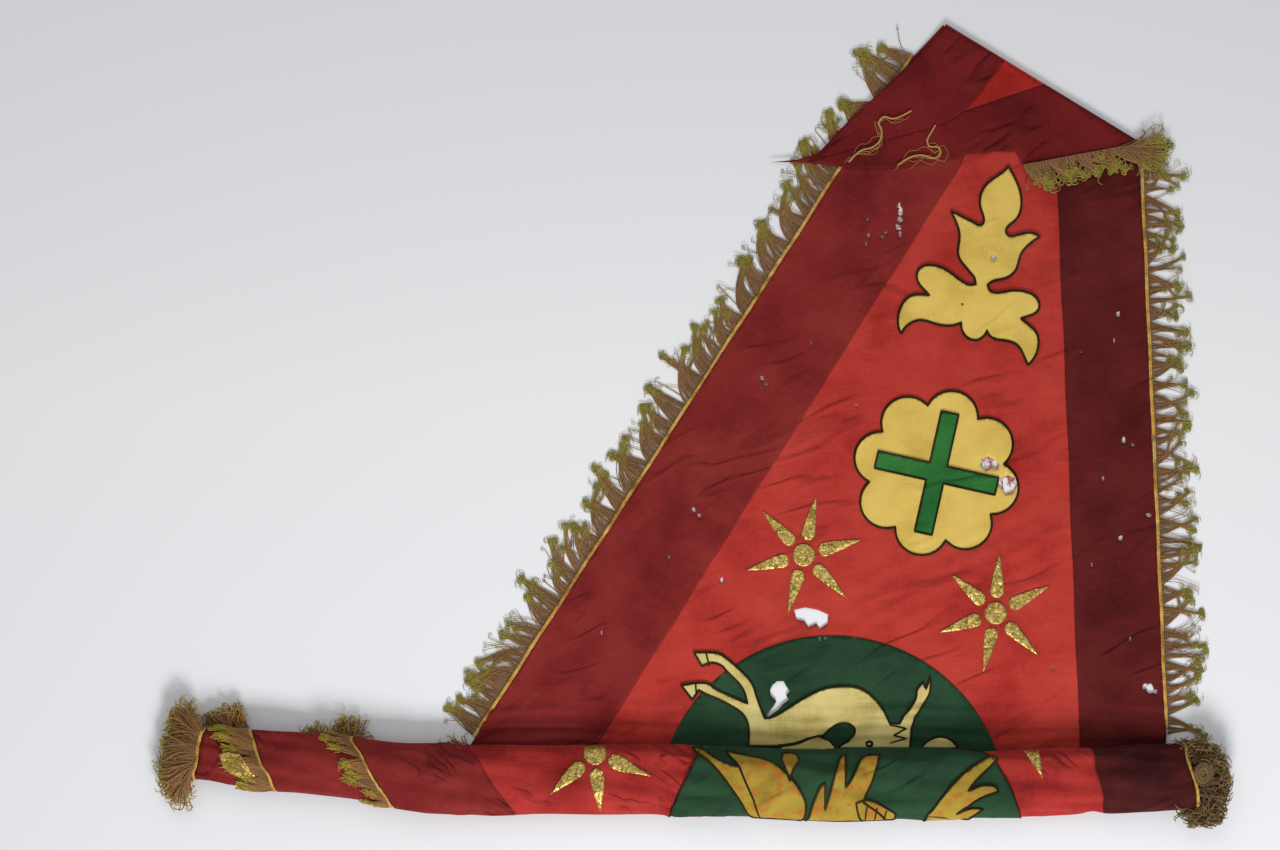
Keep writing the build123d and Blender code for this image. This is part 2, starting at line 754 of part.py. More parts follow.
threads = {"long_thread": LONG_THREAD, "short_thread": SHORT_THREAD}
thread_shift = tuple(new - drawn for new, drawn in zip(CREASE_TOP, THREAD_CREASE_TOP))
thread_z = FLAP_TOP + THREAD_D / 2 + LAYER_GAP / 4
for label, route in threads.items():
    stations = [(x, y, thread_z) for x, y in at(thread_shift, route)]
    radii = thread_radii(stations)
    print(label, "arc radii", [round(r, 1) for r in radii])
    with BuildPart() as thread:
        with BuildLine() as path:
            FilletPolyline(*stations, radius=radii)
        with BuildSketch(Plane(origin=path.line @ 0, z_dir=path.line % 0)):
            Circle(THREAD_D / 2)
        sweep(path=path.line)
    length = sum(edge.length for edge in path.edges())
    expected = math.pi * THREAD_D**2 / 4 * length
    print(label, "length", round(length, 1), "fill", round(thread.part.volume / expected, 4))
    write(thread, label)
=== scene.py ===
"""A triangular processional pennant, partly rolled, with its tip folded over: the visible model.

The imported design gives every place.  Flat pieces take their outlines from the design's own
nodes; the cloth is then draped over soft creases, the roll is wound from thin cloth, and the
fringes are laid strand by strand.  Metres, in the design's frame; lengths named ``*_mm`` are
millimetres.
"""

import json
import logging
import math
from dataclasses import dataclass, field
from enum import Enum
from typing import Callable, Iterable, Sequence

import bpy
import numpy as np
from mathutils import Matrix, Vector, geometry
from mathutils.kdtree import KDTree

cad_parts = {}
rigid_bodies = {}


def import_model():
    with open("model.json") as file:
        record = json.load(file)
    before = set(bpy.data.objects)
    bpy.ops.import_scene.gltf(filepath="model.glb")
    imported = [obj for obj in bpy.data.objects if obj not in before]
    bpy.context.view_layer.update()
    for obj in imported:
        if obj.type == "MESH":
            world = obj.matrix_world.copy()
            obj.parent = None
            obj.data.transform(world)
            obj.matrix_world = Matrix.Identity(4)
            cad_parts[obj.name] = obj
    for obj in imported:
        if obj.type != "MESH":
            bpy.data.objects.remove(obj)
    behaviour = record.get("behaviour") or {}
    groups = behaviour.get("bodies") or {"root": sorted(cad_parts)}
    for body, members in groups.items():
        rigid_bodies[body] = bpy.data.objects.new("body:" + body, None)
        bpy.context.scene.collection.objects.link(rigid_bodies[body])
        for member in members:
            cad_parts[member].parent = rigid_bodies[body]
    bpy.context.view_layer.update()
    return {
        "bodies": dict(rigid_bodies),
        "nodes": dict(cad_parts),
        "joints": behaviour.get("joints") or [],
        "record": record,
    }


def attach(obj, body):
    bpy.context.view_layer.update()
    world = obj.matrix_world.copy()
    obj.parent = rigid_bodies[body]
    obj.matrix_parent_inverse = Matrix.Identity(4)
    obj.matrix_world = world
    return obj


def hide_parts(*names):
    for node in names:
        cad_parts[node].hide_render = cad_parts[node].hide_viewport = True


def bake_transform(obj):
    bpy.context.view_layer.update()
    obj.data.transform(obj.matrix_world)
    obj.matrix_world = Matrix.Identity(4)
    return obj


LOG = logging.getLogger("pennant")
MM = 0.001
Loop = np.ndarray
Socket = bpy.types.NodeSocket
Piece = bpy.types.Object
Rng = np.random.Generator


class Body(str, Enum):
    """The two bodies of the design."""

    SHEET = "root"
    TIP = "folded_tip"


class Slot(str, Enum):
    """The design's material slots."""

    BURGUNDY = "burgundy_cloth"
    RED = "red_cloth"
    GREEN = "green_cloth"
    GOLD = "gold_cloth"
    OLD_GOLD = "old_gold_cloth"
    FOIL = "gold_foil"
    BRAID = "gold_braid"
    FRINGE = "gold_fringe"
    THREAD = "gold_thread"
    CORD = "dark_cord"


# ---------------------------------------------------------------------------------------------
# Shader helpers and finishes
# ---------------------------------------------------------------------------------------------


def srgb(code: str) -> tuple[float, float, float, float]:
    """The linear colour of an sRGB hex code such as ``#B33632``."""
    parts = [int(code[i : i + 2], 16) / 255 for i in (1, 3, 5)]
    linear = [c / 12.92 if c <= 0.04045 else ((c + 0.055) / 1.055) ** 2.4 for c in parts]
    return (*linear, 1.0)


def put(tree: bpy.types.NodeTree, kind: str, links: dict | None = None, **settings) -> bpy.types.Node:
    """Adds a node with its settings and inputs.

    Args:
        tree: The tree that gets the node.
        kind: The node's type name.
        links: For each input, a constant or the socket that feeds it.
        **settings: Properties of the node itself.

    Returns:
        The new node.
    """
    made = tree.nodes.new(kind)
    for key, value in settings.items():
        setattr(made, key, value)
    for key, value in (links or {}).items():
        if isinstance(value, bpy.types.NodeSocket):
            tree.links.new(value, made.inputs[key])
        else:
            made.inputs[key].default_value = value
    return made


def blank_material(name: str) -> bpy.types.Material:
    """A material with an empty node tree."""
    made = bpy.data.materials.new(name)
    made.use_nodes = True
    made.node_tree.nodes.clear()
    return made


def ramp(tree: bpy.types.NodeTree, factor: Socket, stops: Sequence[tuple[float, str]]) -> Socket:
    """A colour ramp's output, with stops of place and hex code."""
    made = put(tree, "ShaderNodeValToRGB", {"Fac": factor})
    elements = made.color_ramp.elements
    while len(elements) < len(stops):
        elements.new(0.5)
    for element, (place, code) in zip(elements, stops):
        element.position = place
        element.color = srgb(code)
    return made.outputs["Color"]


def stretched_noise(
    tree: bpy.types.NodeTree,
    coords: Socket,
    size_mm: Sequence[float],
    detail: float = 3.0,
    turn: float = 0.0,
) -> Socket:
    """Noise whose grains measure size_mm along axes turned about Z, as a 0 to 1 socket."""
    if turn:
        coords = put(
            tree, "ShaderNodeVectorRotate", {"Vector": coords, "Angle": -turn}, rotation_type="Z_AXIS"
        ).outputs[0]
    scale = tuple(1 / (s * MM) for s in size_mm)
    mapping = put(tree, "ShaderNodeMapping", {"Vector": coords, "Scale": scale})
    made = put(
        tree, "ShaderNodeTexNoise", {"Vector": mapping.outputs[0], "Scale": 1.0, "Detail": detail}
    )
    return made.outputs["Fac"]


@dataclass(frozen=True)
class WovenCloth:
    """Plain woven cloth: dull, with uneven dye, slubs along both threads, soft crumples and painted shade in
    its creases.
    """

    name: str
    dark: str
    body: str
    light: str
    thread_mm: float = 1.5  # the real 0.6 mm thread is drawn coarser, so that it shows
    slub_mm: float = 26.0
    dye_mm: float = 85.0
    crumple_mm: float = 34.0
    crumple_depth_mm: float = 5.0
    fold_mm: tuple[float, float, float] = (240.0, 62.0, 80.0)
    fold_turn: float = 0.42
    fold_depth_mm: float = 2.0
    crease_shade: float = 0.16  # how much darker the creases are painted, as painted shade
    stain: str | None = None
    turn: float = 0.0

    def make(self) -> bpy.types.Material:
        """Builds the material."""
        material = blank_material(self.name)
        tree = material.node_tree
        coords = put(tree, "ShaderNodeTexCoord").outputs["Object"]
        dye = stretched_noise(tree, coords, (self.dye_mm,) * 3, 4.0)
        warp = stretched_noise(tree, coords, (self.thread_mm, self.slub_mm, 40), 2.0, self.turn)
        weft = stretched_noise(tree, coords, (self.slub_mm, self.thread_mm, 40), 2.0, self.turn)
        threads = put(tree, "ShaderNodeMath", {0: warp, 1: weft}, operation="ADD").outputs[0]
        tone = put(
            tree, "ShaderNodeMath", {0: threads, 1: 0.24, 2: dye}, operation="MULTIPLY_ADD"
        ).outputs[0]
        half = put(tree, "ShaderNodeMath", {0: tone, 1: 0.6}, operation="MULTIPLY").outputs[0]
        colour = ramp(tree, half, [(0.30, self.dark), (0.44, self.body), (0.62, self.light)])
        if self.stain:
            spots = stretched_noise(tree, coords, (14, 14, 14), 4.0)
            mask = put(  # stained only where the noise is high
                tree, "ShaderNodeMapRange", {"Value": spots, "From Min": 0.50, "From Max": 0.62}
            ).outputs[0]
            mixed = put(
                tree, "ShaderNodeMix", {"Factor": mask, "A": colour, "B": srgb(self.stain)}, data_type="RGBA"
            )
            colour = next(socket for socket in mixed.outputs if socket.type == "RGBA")
        fold = stretched_noise(tree, coords, self.fold_mm, 2.0, self.fold_turn)
        off = put(tree, "ShaderNodeMath", {0: fold, 1: 0.5}, operation="SUBTRACT").outputs[0]
        far = put(tree, "ShaderNodeMath", {0: off}, operation="ABSOLUTE").outputs[0]
        crease = put(
            tree,
            "ShaderNodeMapRange",
            {"Value": far, "From Min": 0.0, "From Max": 0.055, "To Min": 1.0, "To Max": 0.0},
            interpolation_type="SMOOTHERSTEP",
        ).outputs[0]
        patch = put(
            tree,
            "ShaderNodeMapRange",
            {"Value": stretched_noise(tree, coords, (110.0,) * 3, 1.0), "From Min": 0.46, "From Max": 0.6},
        ).outputs[0]
        crease = put(tree, "ShaderNodeMath", {0: crease, 1: patch}, operation="MULTIPLY").outputs[0]
        # The creases are painted darker: painted shade where the folds dip.
        painted_crease_shade = put(
            tree, "ShaderNodeMapRange", {"Value": crease, "To Min": 1.0, "To Max": 1 - self.crease_shade}
        ).outputs[0]
        colour = put(tree, "ShaderNodeVectorMath", {0: colour, "Scale": painted_crease_shade}, operation="SCALE").outputs[0]
        crumple = stretched_noise(tree, coords, (self.crumple_mm,) * 3, 3.0)
        creased = put(
            tree, "ShaderNodeBump", {"Height": crease, "Strength": 0.8, "Distance": self.fold_depth_mm * MM}
        ).outputs["Normal"]
        soft = put(
            tree,
            "ShaderNodeBump",
            {
                "Height": crumple,
                "Strength": 0.9,
                "Distance": self.crumple_depth_mm * MM,
                "Normal": creased,
            },
        )
        weave = put(
            tree,
            "ShaderNodeBump",
            {
                "Height": threads,
                "Strength": 0.5,
                "Distance": 0.25 * MM,
                "Normal": soft.outputs["Normal"],
            },
        )
        shader = put(
            tree,
            "ShaderNodeBsdfPrincipled",
            {
                "Base Color": colour,
                "Roughness": 0.88,
                "IOR": 1.46,
                "Specular IOR Level": 0.07,
                "Sheen Weight": 0.03,
                "Sheen Roughness": 0.55,
                "Normal": weave.outputs["Normal"],
            },
        )
        out = put(tree, "ShaderNodeOutputMaterial")
        tree.links.new(shader.outputs[0], out.inputs[0])
        return material


@dataclass(frozen=True)
class CrackedFoil:
    """Gold leaf on thin leather: bright where it holds, brown where it has crackled off, with painted
    highlight and shade on its crumpled facets.
    """

    name: str = "gilded_leather_crackled"
    bright: str = "#D9C072"
    body: str = "#A88E3C"
    worn: str = "#5E3F1E"
    crack_mm: float = 4.6
    crease_mm: float = 7.0

    def make(self) -> bpy.types.Material:
        """Builds the material."""
        material = blank_material(self.name)
        tree = material.node_tree
        coords = put(tree, "ShaderNodeTexCoord").outputs["Object"]
        scaled = put(
            tree, "ShaderNodeMapping", {"Vector": coords, "Scale": (1 / (self.crack_mm * MM),) * 3}
        ).outputs[0]
        warped = stretched_noise(tree, coords, (self.crease_mm,) * 3, 5.0)
        cells = put(
            tree,
            "ShaderNodeTexVoronoi",
            {"Vector": scaled, "Scale": 1.0, "Randomness": 1.0},
            feature="DISTANCE_TO_EDGE",
        ).outputs["Distance"]
        facet_light_and_bump = stretched_noise(tree, coords, (5.5, 5.5, 5.5), 2.0)
        mixed = put(tree, "ShaderNodeMath", {0: cells, 1: warped}, operation="MULTIPLY").outputs[0]
        wear = put(
            tree, "ShaderNodeMapRange", {"Value": mixed, "From Min": 0.0, "From Max": 0.045}
        ).outputs[0]
        # The facets' noise, which also bumps the foil, lightens and darkens its colour: painted highlight and
        # shade on the crumples.
        tone = put(tree, "ShaderNodeMath", {0: wear, 1: facet_light_and_bump}, operation="MULTIPLY").outputs[0]
        colour = ramp(tree, tone, [(0.05, self.worn), (0.36, self.body), (0.62, self.bright)])
        metal = put(
            tree, "ShaderNodeMapRange", {"Value": wear, "To Min": 0.1, "To Max": 0.85}
        ).outputs[0]
        bump = put(
            tree, "ShaderNodeBump", {"Height": facet_light_and_bump, "Strength": 0.9, "Distance": 2.0 * MM}
        )
        shader = put(
            tree,
            "ShaderNodeBsdfPrincipled",
            {
                "Base Color": colour,
                "Metallic": metal,
                "Roughness": 0.5,
                "Normal": bump.outputs["Normal"],
            },
        )
        out = put(tree, "ShaderNodeOutputMaterial")
        tree.links.new(shader.outputs[0], out.inputs[0])
        return material


@dataclass(frozen=True)
class TwistedSilk:
    """Twisted fringe cord: each strand turns from brown gold to olive yellow at its tip."""

    name: str
    root: str
    middle: str
    tip: str
    twist_mm: float = 2.4
    roughness: float = 0.62
    fade: tuple[float, float] = (0.72, 0.93)  # where along the strand the tip's colour starts and ends

    def make(self) -> bpy.types.Material:
        """Builds the material."""
        material = blank_material(self.name)
        tree = material.node_tree
        tip = put(tree, "ShaderNodeAttribute", attribute_name="tip").outputs["Fac"]
        along = put(tree, "ShaderNodeAttribute", attribute_name="along").outputs["Fac"]
        shade = put(tree, "ShaderNodeAttribute", attribute_name="shade").outputs["Fac"]
        colour = ramp(tree, tip, [(0.0, self.root), (self.fade[0], self.middle), (self.fade[1], self.tip)])
        turns = put(
            tree, "ShaderNodeMath", {0: along, 1: 2 * math.pi / self.twist_mm}, operation="MULTIPLY"
        ).outputs[0]
        ply = put(tree, "ShaderNodeMath", {0: turns}, operation="SINE").outputs[0]
        # The colour is darkened in step with the twist's bump: painted shade in the grooves between the
        # plies.
        twist_shade = put(
            tree, "ShaderNodeMapRange", {"Value": ply, "From Min": -1.0, "To Min": 0.72, "To Max": 1.0}
        ).outputs[0]
        each = put(
            tree, "ShaderNodeMapRange", {"Value": shade, "To Min": 0.62, "To Max": 1.25}
        ).outputs[0]
        level = put(tree, "ShaderNodeMath", {0: twist_shade, 1: each}, operation="MULTIPLY").outputs[0]
        toned = put(
            tree, "ShaderNodeVectorMath", {0: colour, "Scale": level}, operation="SCALE"
        ).outputs[0]
        bump = put(tree, "ShaderNodeBump", {"Height": ply, "Strength": 0.5, "Distance": 0.5 * MM})
        shader = put(
            tree,
            "ShaderNodeBsdfPrincipled",
            {
                "Base Color": toned,
                "Roughness": self.roughness,
                "Sheen Weight": 0.15,
                "Normal": bump.outputs["Normal"],
            },
        )
        out = put(tree, "ShaderNodeOutputMaterial")
        tree.links.new(shader.outputs[0], out.inputs[0])
        return material


class Finishes:
    """Every material of the pennant, made once and kept by name."""

    def __init__(self) -> None:
        """Builds the materials."""
        self.red = WovenCloth("red_wool_plain_weave", "#92241F", "#A9342C", "#B43E34").make()
        self.red_back = WovenCloth(
            "red_wool_reverse", "#7A1C1A", "#982B27", "#AA362E", fold_mm=(90.0, 34.0, 50.0), fold_turn=-0.5,
            fold_depth_mm=3.6, crease_shade=0.24
        ).make()
        self.left_burgundy = WovenCloth(
            "burgundy_wool_left", "#611719", "#782422", "#84302B", fold_mm=(170.0, 48.0, 60.0), turn=-0.57
        ).make()
        self.right_burgundy = WovenCloth(
            "burgundy_wool_right", "#421010", "#551918", "#602220"
        ).make()
        self.rolled_burgundy = WovenCloth(
            "burgundy_wool_rolled", "#5E1618", "#762321", "#842E2A", fold_mm=(80.0, 30.0, 45.0),
            fold_turn=-0.7, fold_depth_mm=4.0, crease_shade=0.26, turn=-0.57,
        ).make()
        self.dark_burgundy = WovenCloth("burgundy_wool_foot", "#2E0F10", "#431616", "#521B1A").make()
        self.tip_burgundy = WovenCloth(
            "burgundy_wool_reverse", "#4A1012", "#641819", "#731F1F", crumple_depth_mm=7.0,
            fold_mm=(140.0, 44.0, 60.0), fold_turn=0.6, fold_depth_mm=3.6, crease_shade=0.22,
        ).make()
        self.tip_red = WovenCloth("red_wool_tip_reverse", "#7A1614", "#93211B", "#A52A22").make()
        self.gold = WovenCloth(
            "gold_sateen", "#BE9F4A", "#D0B158", "#DABD64", dye_mm=60, crumple_depth_mm=1.6,
            fold_depth_mm=0.7, crease_shade=0.05,
        ).make()
        self.cream_gold = WovenCloth(
            "pale_gold_sateen", "#A99654", "#C6B673", "#D6C889", dye_mm=50, crumple_depth_mm=1.2,
            fold_depth_mm=0.7, crease_shade=0.05,
        ).make()
        self.old_gold = WovenCloth(
            "soiled_gold_sateen", "#7F6722", "#977E2E", "#A38A37", stain="#A0682A", dye_mm=40
        ).make()
        self.green = WovenCloth("bottle_green_cotton", "#1B3522", "#243F2B", "#2C4A31").make()
        self.cross_green = WovenCloth("emerald_cotton", "#1F5628", "#2A662F", "#387836").make()
        self.cord = WovenCloth(
            "dark_couched_cord", "#14120A", "#242010", "#3A3418", crumple_depth_mm=0.2, crease_shade=0.0
        ).make()
        self.braid = WovenCloth(
            "gilt_heading_braid", "#7A5522", "#BC9144", "#E0BC6C", thread_mm=2.2, slub_mm=5.0,
            dye_mm=20, turn=0.8, crumple_mm=3.0, crumple_depth_mm=2.0, crease_shade=0.0,
        ).make()
        self.foil = CrackedFoil().make()
        self.fringe = TwistedSilk(
            "bullion_silk_fringe", "#855828", "#8C6424", "#998C1A", fade=(0.55, 0.80)
        ).make()
        self.worn_fringe = TwistedSilk("bullion_silk_worn", "#865722", "#966828", "#AE9A1A").make()
        self.whorl = TwistedSilk("bullion_silk_coiled", "#6E4C1B", "#7A561F", "#8A701E").make()
        self.thread = TwistedSilk("gilt_thread", "#DDAE55", "#DDAE55", "#DDAE55").make()
        self.red_thread = TwistedSilk("torn_red_thread", "#A52C22", "#B8382B", "#C24A2C").make()


# ---------------------------------------------------------------------------------------------
# Plane geometry
# ---------------------------------------------------------------------------------------------


def resample(points: Loop, step: float, closed: bool = True) -> Loop:
    """Spaces a line's points about step apart, keeping its corners.

    Args:
        points: The line's points.
        step: The wanted spacing.
        closed: Whether the last point joins the first.

    Returns:
        The new points.
    """
    ends = np.roll(points, -1, 0) if closed else points[1:]
    starts = points if closed else points[:-1]
    out = []
    for a, b in zip(starts, ends):
        n = max(1, round(float(np.linalg.norm(b - a)) / step))
        out += [a + (b - a) * (i / n) for i in range(n)]
    if not closed:
        out.append(points[-1])
    return np.array(out)


def soften(loop: Loop, keep_deg: float = 48.0, rounds: int = 2) -> Loop:
    """Rounds a loop's gentle corners and keeps its sharp ones.

    Args:
        loop: The closed loop.
        keep_deg: Corners that turn more than this stay sharp.
        rounds: How often the corners are cut.

    Returns:
        The rounded loop.
    """
    for _ in range(rounds):
        before, after = np.roll(loop, 1, 0), np.roll(loop, -1, 0)
        v, w = loop - before, after - loop
        turn = np.degrees(
            np.abs(np.arctan2(v[:, 0] * w[:, 1] - v[:, 1] * w[:, 0], (v * w).sum(1)))
        )
        out = []
        for p, q, r, t in zip(before, loop, after, turn):
            out += [q] if t > keep_deg else [q + (p - q) * 0.25, q + (r - q) * 0.25]
        loop = np.array(out)
    return loop


def inside(loop: Loop, points: np.ndarray) -> np.ndarray:
    """Which points lie inside a closed loop."""
    x, y = points[:, 0], points[:, 1]
    found = np.zeros(len(points), bool)
    for (x0, y0), (x1, y1) in zip(loop, np.roll(loop, -1, 0)):
        crosses = (y0 > y) != (y1 > y)
        if crosses.any():
            at = x0 + (y - y0) * (x1 - x0) / (y1 - y0 if y1 != y0 else 1e-12)
            found ^= crosses & (x < at)
    return found


def triangulate(outer: Loop, holes: Sequence[Loop], step: float) -> tuple[np.ndarray, np.ndarray]:
    """Fills a loop with even triangles.

    Args:
        outer: The outline.
        holes: Loops that stay open.
        step: The triangles' size.

    Returns:
        The points and the triangles' corner indices.
    """
    rings = [resample(outer, step)] + [resample(h, step * 0.5) for h in holes]
    edges, total = [], 0
    for ring in rings:
        edges += [(total + i, total + (i + 1) % len(ring)) for i in range(len(ring))]
        total += len(ring)
    border = np.concatenate(rings)
    lo, hi = rings[0].min(0), rings[0].max(0)
    xs = np.arange(lo[0], hi[0], step)
    ys = np.arange(lo[1], hi[1], step * 0.866)
    grid = np.array([(x + (j % 2) * step / 2, y) for j, y in enumerate(ys) for x in xs])
    if len(grid):
        keep = inside(rings[0], grid)
        for ring in rings[1:]:
            keep &= ~inside(ring, grid)
        grid = grid[keep]
        tree = KDTree(len(border))
        for i, p in enumerate(border):
            tree.insert((p[0], p[1], 0), i)
        tree.balance()
        far = [tree.find((p[0], p[1], 0))[2] > step * 0.5 for p in grid]
        grid = grid[np.array(far, bool)] if len(grid) else grid
    points = np.concatenate([border, grid]) if len(grid) else border
    done = geometry.delaunay_2d_cdt([Vector(p) for p in points], edges, [], 0, 1e-9)
    flat = np.array([tuple(p) for p in done[0]])
    faces = np.array([f for f in done[2] if len(f) == 3])
    middle = flat[faces].mean(1)
    keep = inside(rings[0], middle)
    for ring in rings[1:]:
        keep &= ~inside(ring, middle)
    faces = faces[keep]
    a, b, c = flat[faces[:, 0]], flat[faces[:, 1]], flat[faces[:, 2]]
    turned = (b - a)[:, 0] * (c - a)[:, 1] - (b - a)[:, 1] * (c - a)[:, 0] < 0
    faces[turned] = faces[turned][:, ::-1]
    used = np.unique(faces)
    new_index = np.full(len(flat), -1)
    new_index[used] = np.arange(len(used))
    return flat[used], new_index[faces]


def node_outlines(node: str) -> list[Loop]:
    """The outlines, seen from above, of each flat solid of a design node, in metres."""
    mesh = DESIGN["nodes"][node].data
    co = np.array([v.co[:] for v in mesh.vertices])
    top = co[:, 2].max()
    edges: dict = {}
    for poly in mesh.polygons:
        if poly.normal.z > 0.9 and all(abs(co[v][2] - top) < 1e-5 for v in poly.vertices):
            ring = [tuple(np.round(co[v][:2], 6)) for v in poly.vertices]
            for a, b in zip(ring, ring[1:] + ring[:1]):
                if (b, a) in edges:
                    del edges[(b, a)]
                else:
                    edges[(a, b)] = True
    follow: dict = {}
    for a, b in edges:
        follow.setdefault(a, []).append(b)
    loops = []
    while follow:
        start = next(iter(follow))
        ring, here = [start], follow[start].pop()
        while here != start:
            ring.append(here)
            here = follow[here].pop()
        follow = {k: v for k, v in follow.items() if v}
        if len(ring) > 2:
            loops.append(np.array(ring))
    return loops


# ---------------------------------------------------------------------------------------------
# Mesh makers
# ---------------------------------------------------------------------------------------------


def new_piece(
    name: str, points: np.ndarray, faces: Iterable, material: bpy.types.Material, smooth: bool = True
) -> Piece:
    """Makes an object from points and faces."""
    mesh = bpy.data.meshes.new(name)
    mesh.from_pydata([tuple(map(float, p)) for p in points], [], [tuple(map(int, f)) for f in faces])
    mesh.validate()
    mesh.materials.append(material)
    if smooth:
        mesh.shade_smooth()
    made = bpy.data.objects.new(name, mesh)
    bpy.context.scene.collection.objects.link(made)
    return made


def thick_piece(
    name: str,
    flat: np.ndarray,
    faces: np.ndarray,
    top: Callable[[np.ndarray], np.ndarray],
    under: Callable[[np.ndarray], np.ndarray],
    material: bpy.types.Material,
) -> Piece:
    """A closed thin piece between two surfaces over one flat triangulation.

    Args:
        name: The piece's name.
        flat: The flat points.
        faces: The triangles.
        top: Maps flat points to the upper surface.
        under: Maps flat points to the lower surface.
        material: The finish.

    Returns:
        The object.
    """
    upper, lower, n = top(flat), under(flat), len(flat)
    count: dict = {}
    for f in faces:
        for a, b in ((f[0], f[1]), (f[1], f[2]), (f[2], f[0])):
            count[(a, b)] = True
    rim = [(a, b) for a, b in count if (b, a) not in count]
    everything = [tuple(f) for f in faces] + [tuple(f[::-1] + n) for f in faces]
    everything += [(b, a, a + n, b + n) for a, b in rim]
    return new_piece(name, np.concatenate([upper, lower]), everything, material)


def tube_tree() -> bpy.types.NodeTree:
    """Geometry nodes that turn guide lines into round cords of a given girth."""
    tree = bpy.data.node_groups.new("cord_from_guides", "GeometryNodeTree")
    face = tree.interface
    face.new_socket(name="Guides", in_out="INPUT", socket_type="NodeSocketGeometry")
    radius = face.new_socket(name="Cord radius", in_out="INPUT", socket_type="NodeSocketFloat")
    sides = face.new_socket(name="Sides", in_out="INPUT", socket_type="NodeSocketInt")
    finish = face.new_socket(name="Finish", in_out="INPUT", socket_type="NodeSocketMaterial")
    face.new_socket(name="Cords", in_out="OUTPUT", socket_type="NodeSocketGeometry")
    tree["inputs"] = [radius.identifier, sides.identifier, finish.identifier]
    given = put(tree, "NodeGroupInput")
    curve = put(tree, "GeometryNodeMeshToCurve", {"Mesh": given.outputs["Guides"]})
    girth = put(tree, "GeometryNodeInputNamedAttribute", {"Name": "girth"}, data_type="FLOAT")
    sized = put(
        tree,
        "GeometryNodeSetCurveRadius",
        {"Curve": curve.outputs[0], "Radius": girth.outputs["Attribute"]},
    )
    ring = put(
        tree,
        "GeometryNodeCurvePrimitiveCircle",
        {"Resolution": given.outputs["Sides"], "Radius": given.outputs["Cord radius"]},
    )
    body = put(
        tree,
        "GeometryNodeCurveToMesh",
        {"Curve": sized.outputs[0], "Profile Curve": ring.outputs[0], "Fill Caps": True},
    )
    if "Scale" in body.inputs:
        tree.links.new(girth.outputs["Attribute"], body.inputs["Scale"])
    smooth = put(tree, "GeometryNodeSetShadeSmooth", {"Geometry": body.outputs[0]})
    whole = put(tree, "GeometryNodeRealizeInstances", {"Geometry": smooth.outputs[0]})
    dressed = put(
        tree,
        "GeometryNodeSetMaterial",
        {"Geometry": whole.outputs[0], "Material": given.outputs["Finish"]},
    )
    out = put(tree, "NodeGroupOutput")
    tree.links.new(dressed.outputs[0], out.inputs[0])
    return tree


@dataclass
class Guides:
    """Lines that become cords: fringe strands, couched outlines or loose fibres."""

    paths: list = field(default_factory=list)
    girths: list = field(default_factory=list)
    shades: list = field(default_factory=list)
    closed: list = field(default_factory=list)

    def add(
        self, path: np.ndarray, girth: float = 1.0, shade: float = 0.5, closed: bool = False
    ) -> None:
        """Adds one line, with its girth against the cord's and its shade from 0 to 1."""
        self.paths.append(np.asarray(path, float))
        self.girths.append(girth)
        self.shades.append(shade)
        self.closed.append(closed)

    def build(
        self, name: str, radius_mm: float, material: bpy.types.Material, sides: int = 5
    ) -> Piece:
        """Turns the lines into cords.

        Args:
            name: The piece's name.
            radius_mm: The cord's radius.
            material: The finish.
            sides: The sides of the cord's section.

        Returns:
            The object, a plain mesh.
        """
        points, edges, along, tip, girth, shade = [], [], [], [], [], []
        for path, thick, tone, ring in zip(self.paths, self.girths, self.shades, self.closed):
            first = len(points)
            steps = np.linalg.norm(np.diff(path, axis=0), axis=1)
            run = np.concatenate([[0], np.cumsum(steps)])
            points += [tuple(p) for p in path]
            edges += [(first + i, first + i + 1) for i in range(len(path) - 1)]
            if ring:
                edges.append((first + len(path) - 1, first))
            along += list(run / MM)
            share = run / max(run[-1], 1e-9)
            tip += list(share)
            girth += list(thick * (np.ones(len(path)) if ring else 1 - 0.25 * share**4))
            shade += [tone] * len(path)
        mesh = bpy.data.meshes.new(name + "_guides")
        mesh.from_pydata(points, edges, [])
        for label, values in (("along", along), ("tip", tip), ("girth", girth), ("shade", shade)):
            layer = mesh.attributes.new(label, "FLOAT", "POINT")
            layer.data.foreach_set("value", np.array(values, np.float32))
        guide = bpy.data.objects.new(name + "_guides", mesh)
        bpy.context.scene.collection.objects.link(guide)
        tree = bpy.data.node_groups.get("cord_from_guides") or tube_tree()
        modifier = guide.modifiers.new("cords", "NODES")
        modifier.node_group = tree
        for key, value in zip(tree["inputs"], (radius_mm * MM, sides, material)):
            modifier[key] = value
        shown = guide.evaluated_get(bpy.context.evaluated_depsgraph_get())
        final = bpy.data.meshes.new_from_object(shown)
        final.name = name
        bpy.data.objects.remove(guide)
        made = bpy.data.objects.new(name, final)
        bpy.context.scene.collection.objects.link(made)
        if not final.materials:
            final.materials.append(material)
        return made


def keep(made: Piece, body: Body, slot: Slot, *nodes: str) -> Piece:
    """Rides a piece on its body and hides the design nodes that it stands for."""
    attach(made, body.value)
    if nodes:
        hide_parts(*nodes)
    LOG.info("%s: %d faces", made.name, len(made.data.polygons))
    return made


# ---------------------------------------------------------------------------------------------
# The shape of the lying cloth, the folded tip and the roll
# ---------------------------------------------------------------------------------------------


def smooth_step(value: np.ndarray, low: float, high: float) -> np.ndarray:
    """A soft 0 to 1 ramp between low and high."""
    t = np.clip((value - low) / (high - low), 0, 1)
    return t * t * (3 - 2 * t)


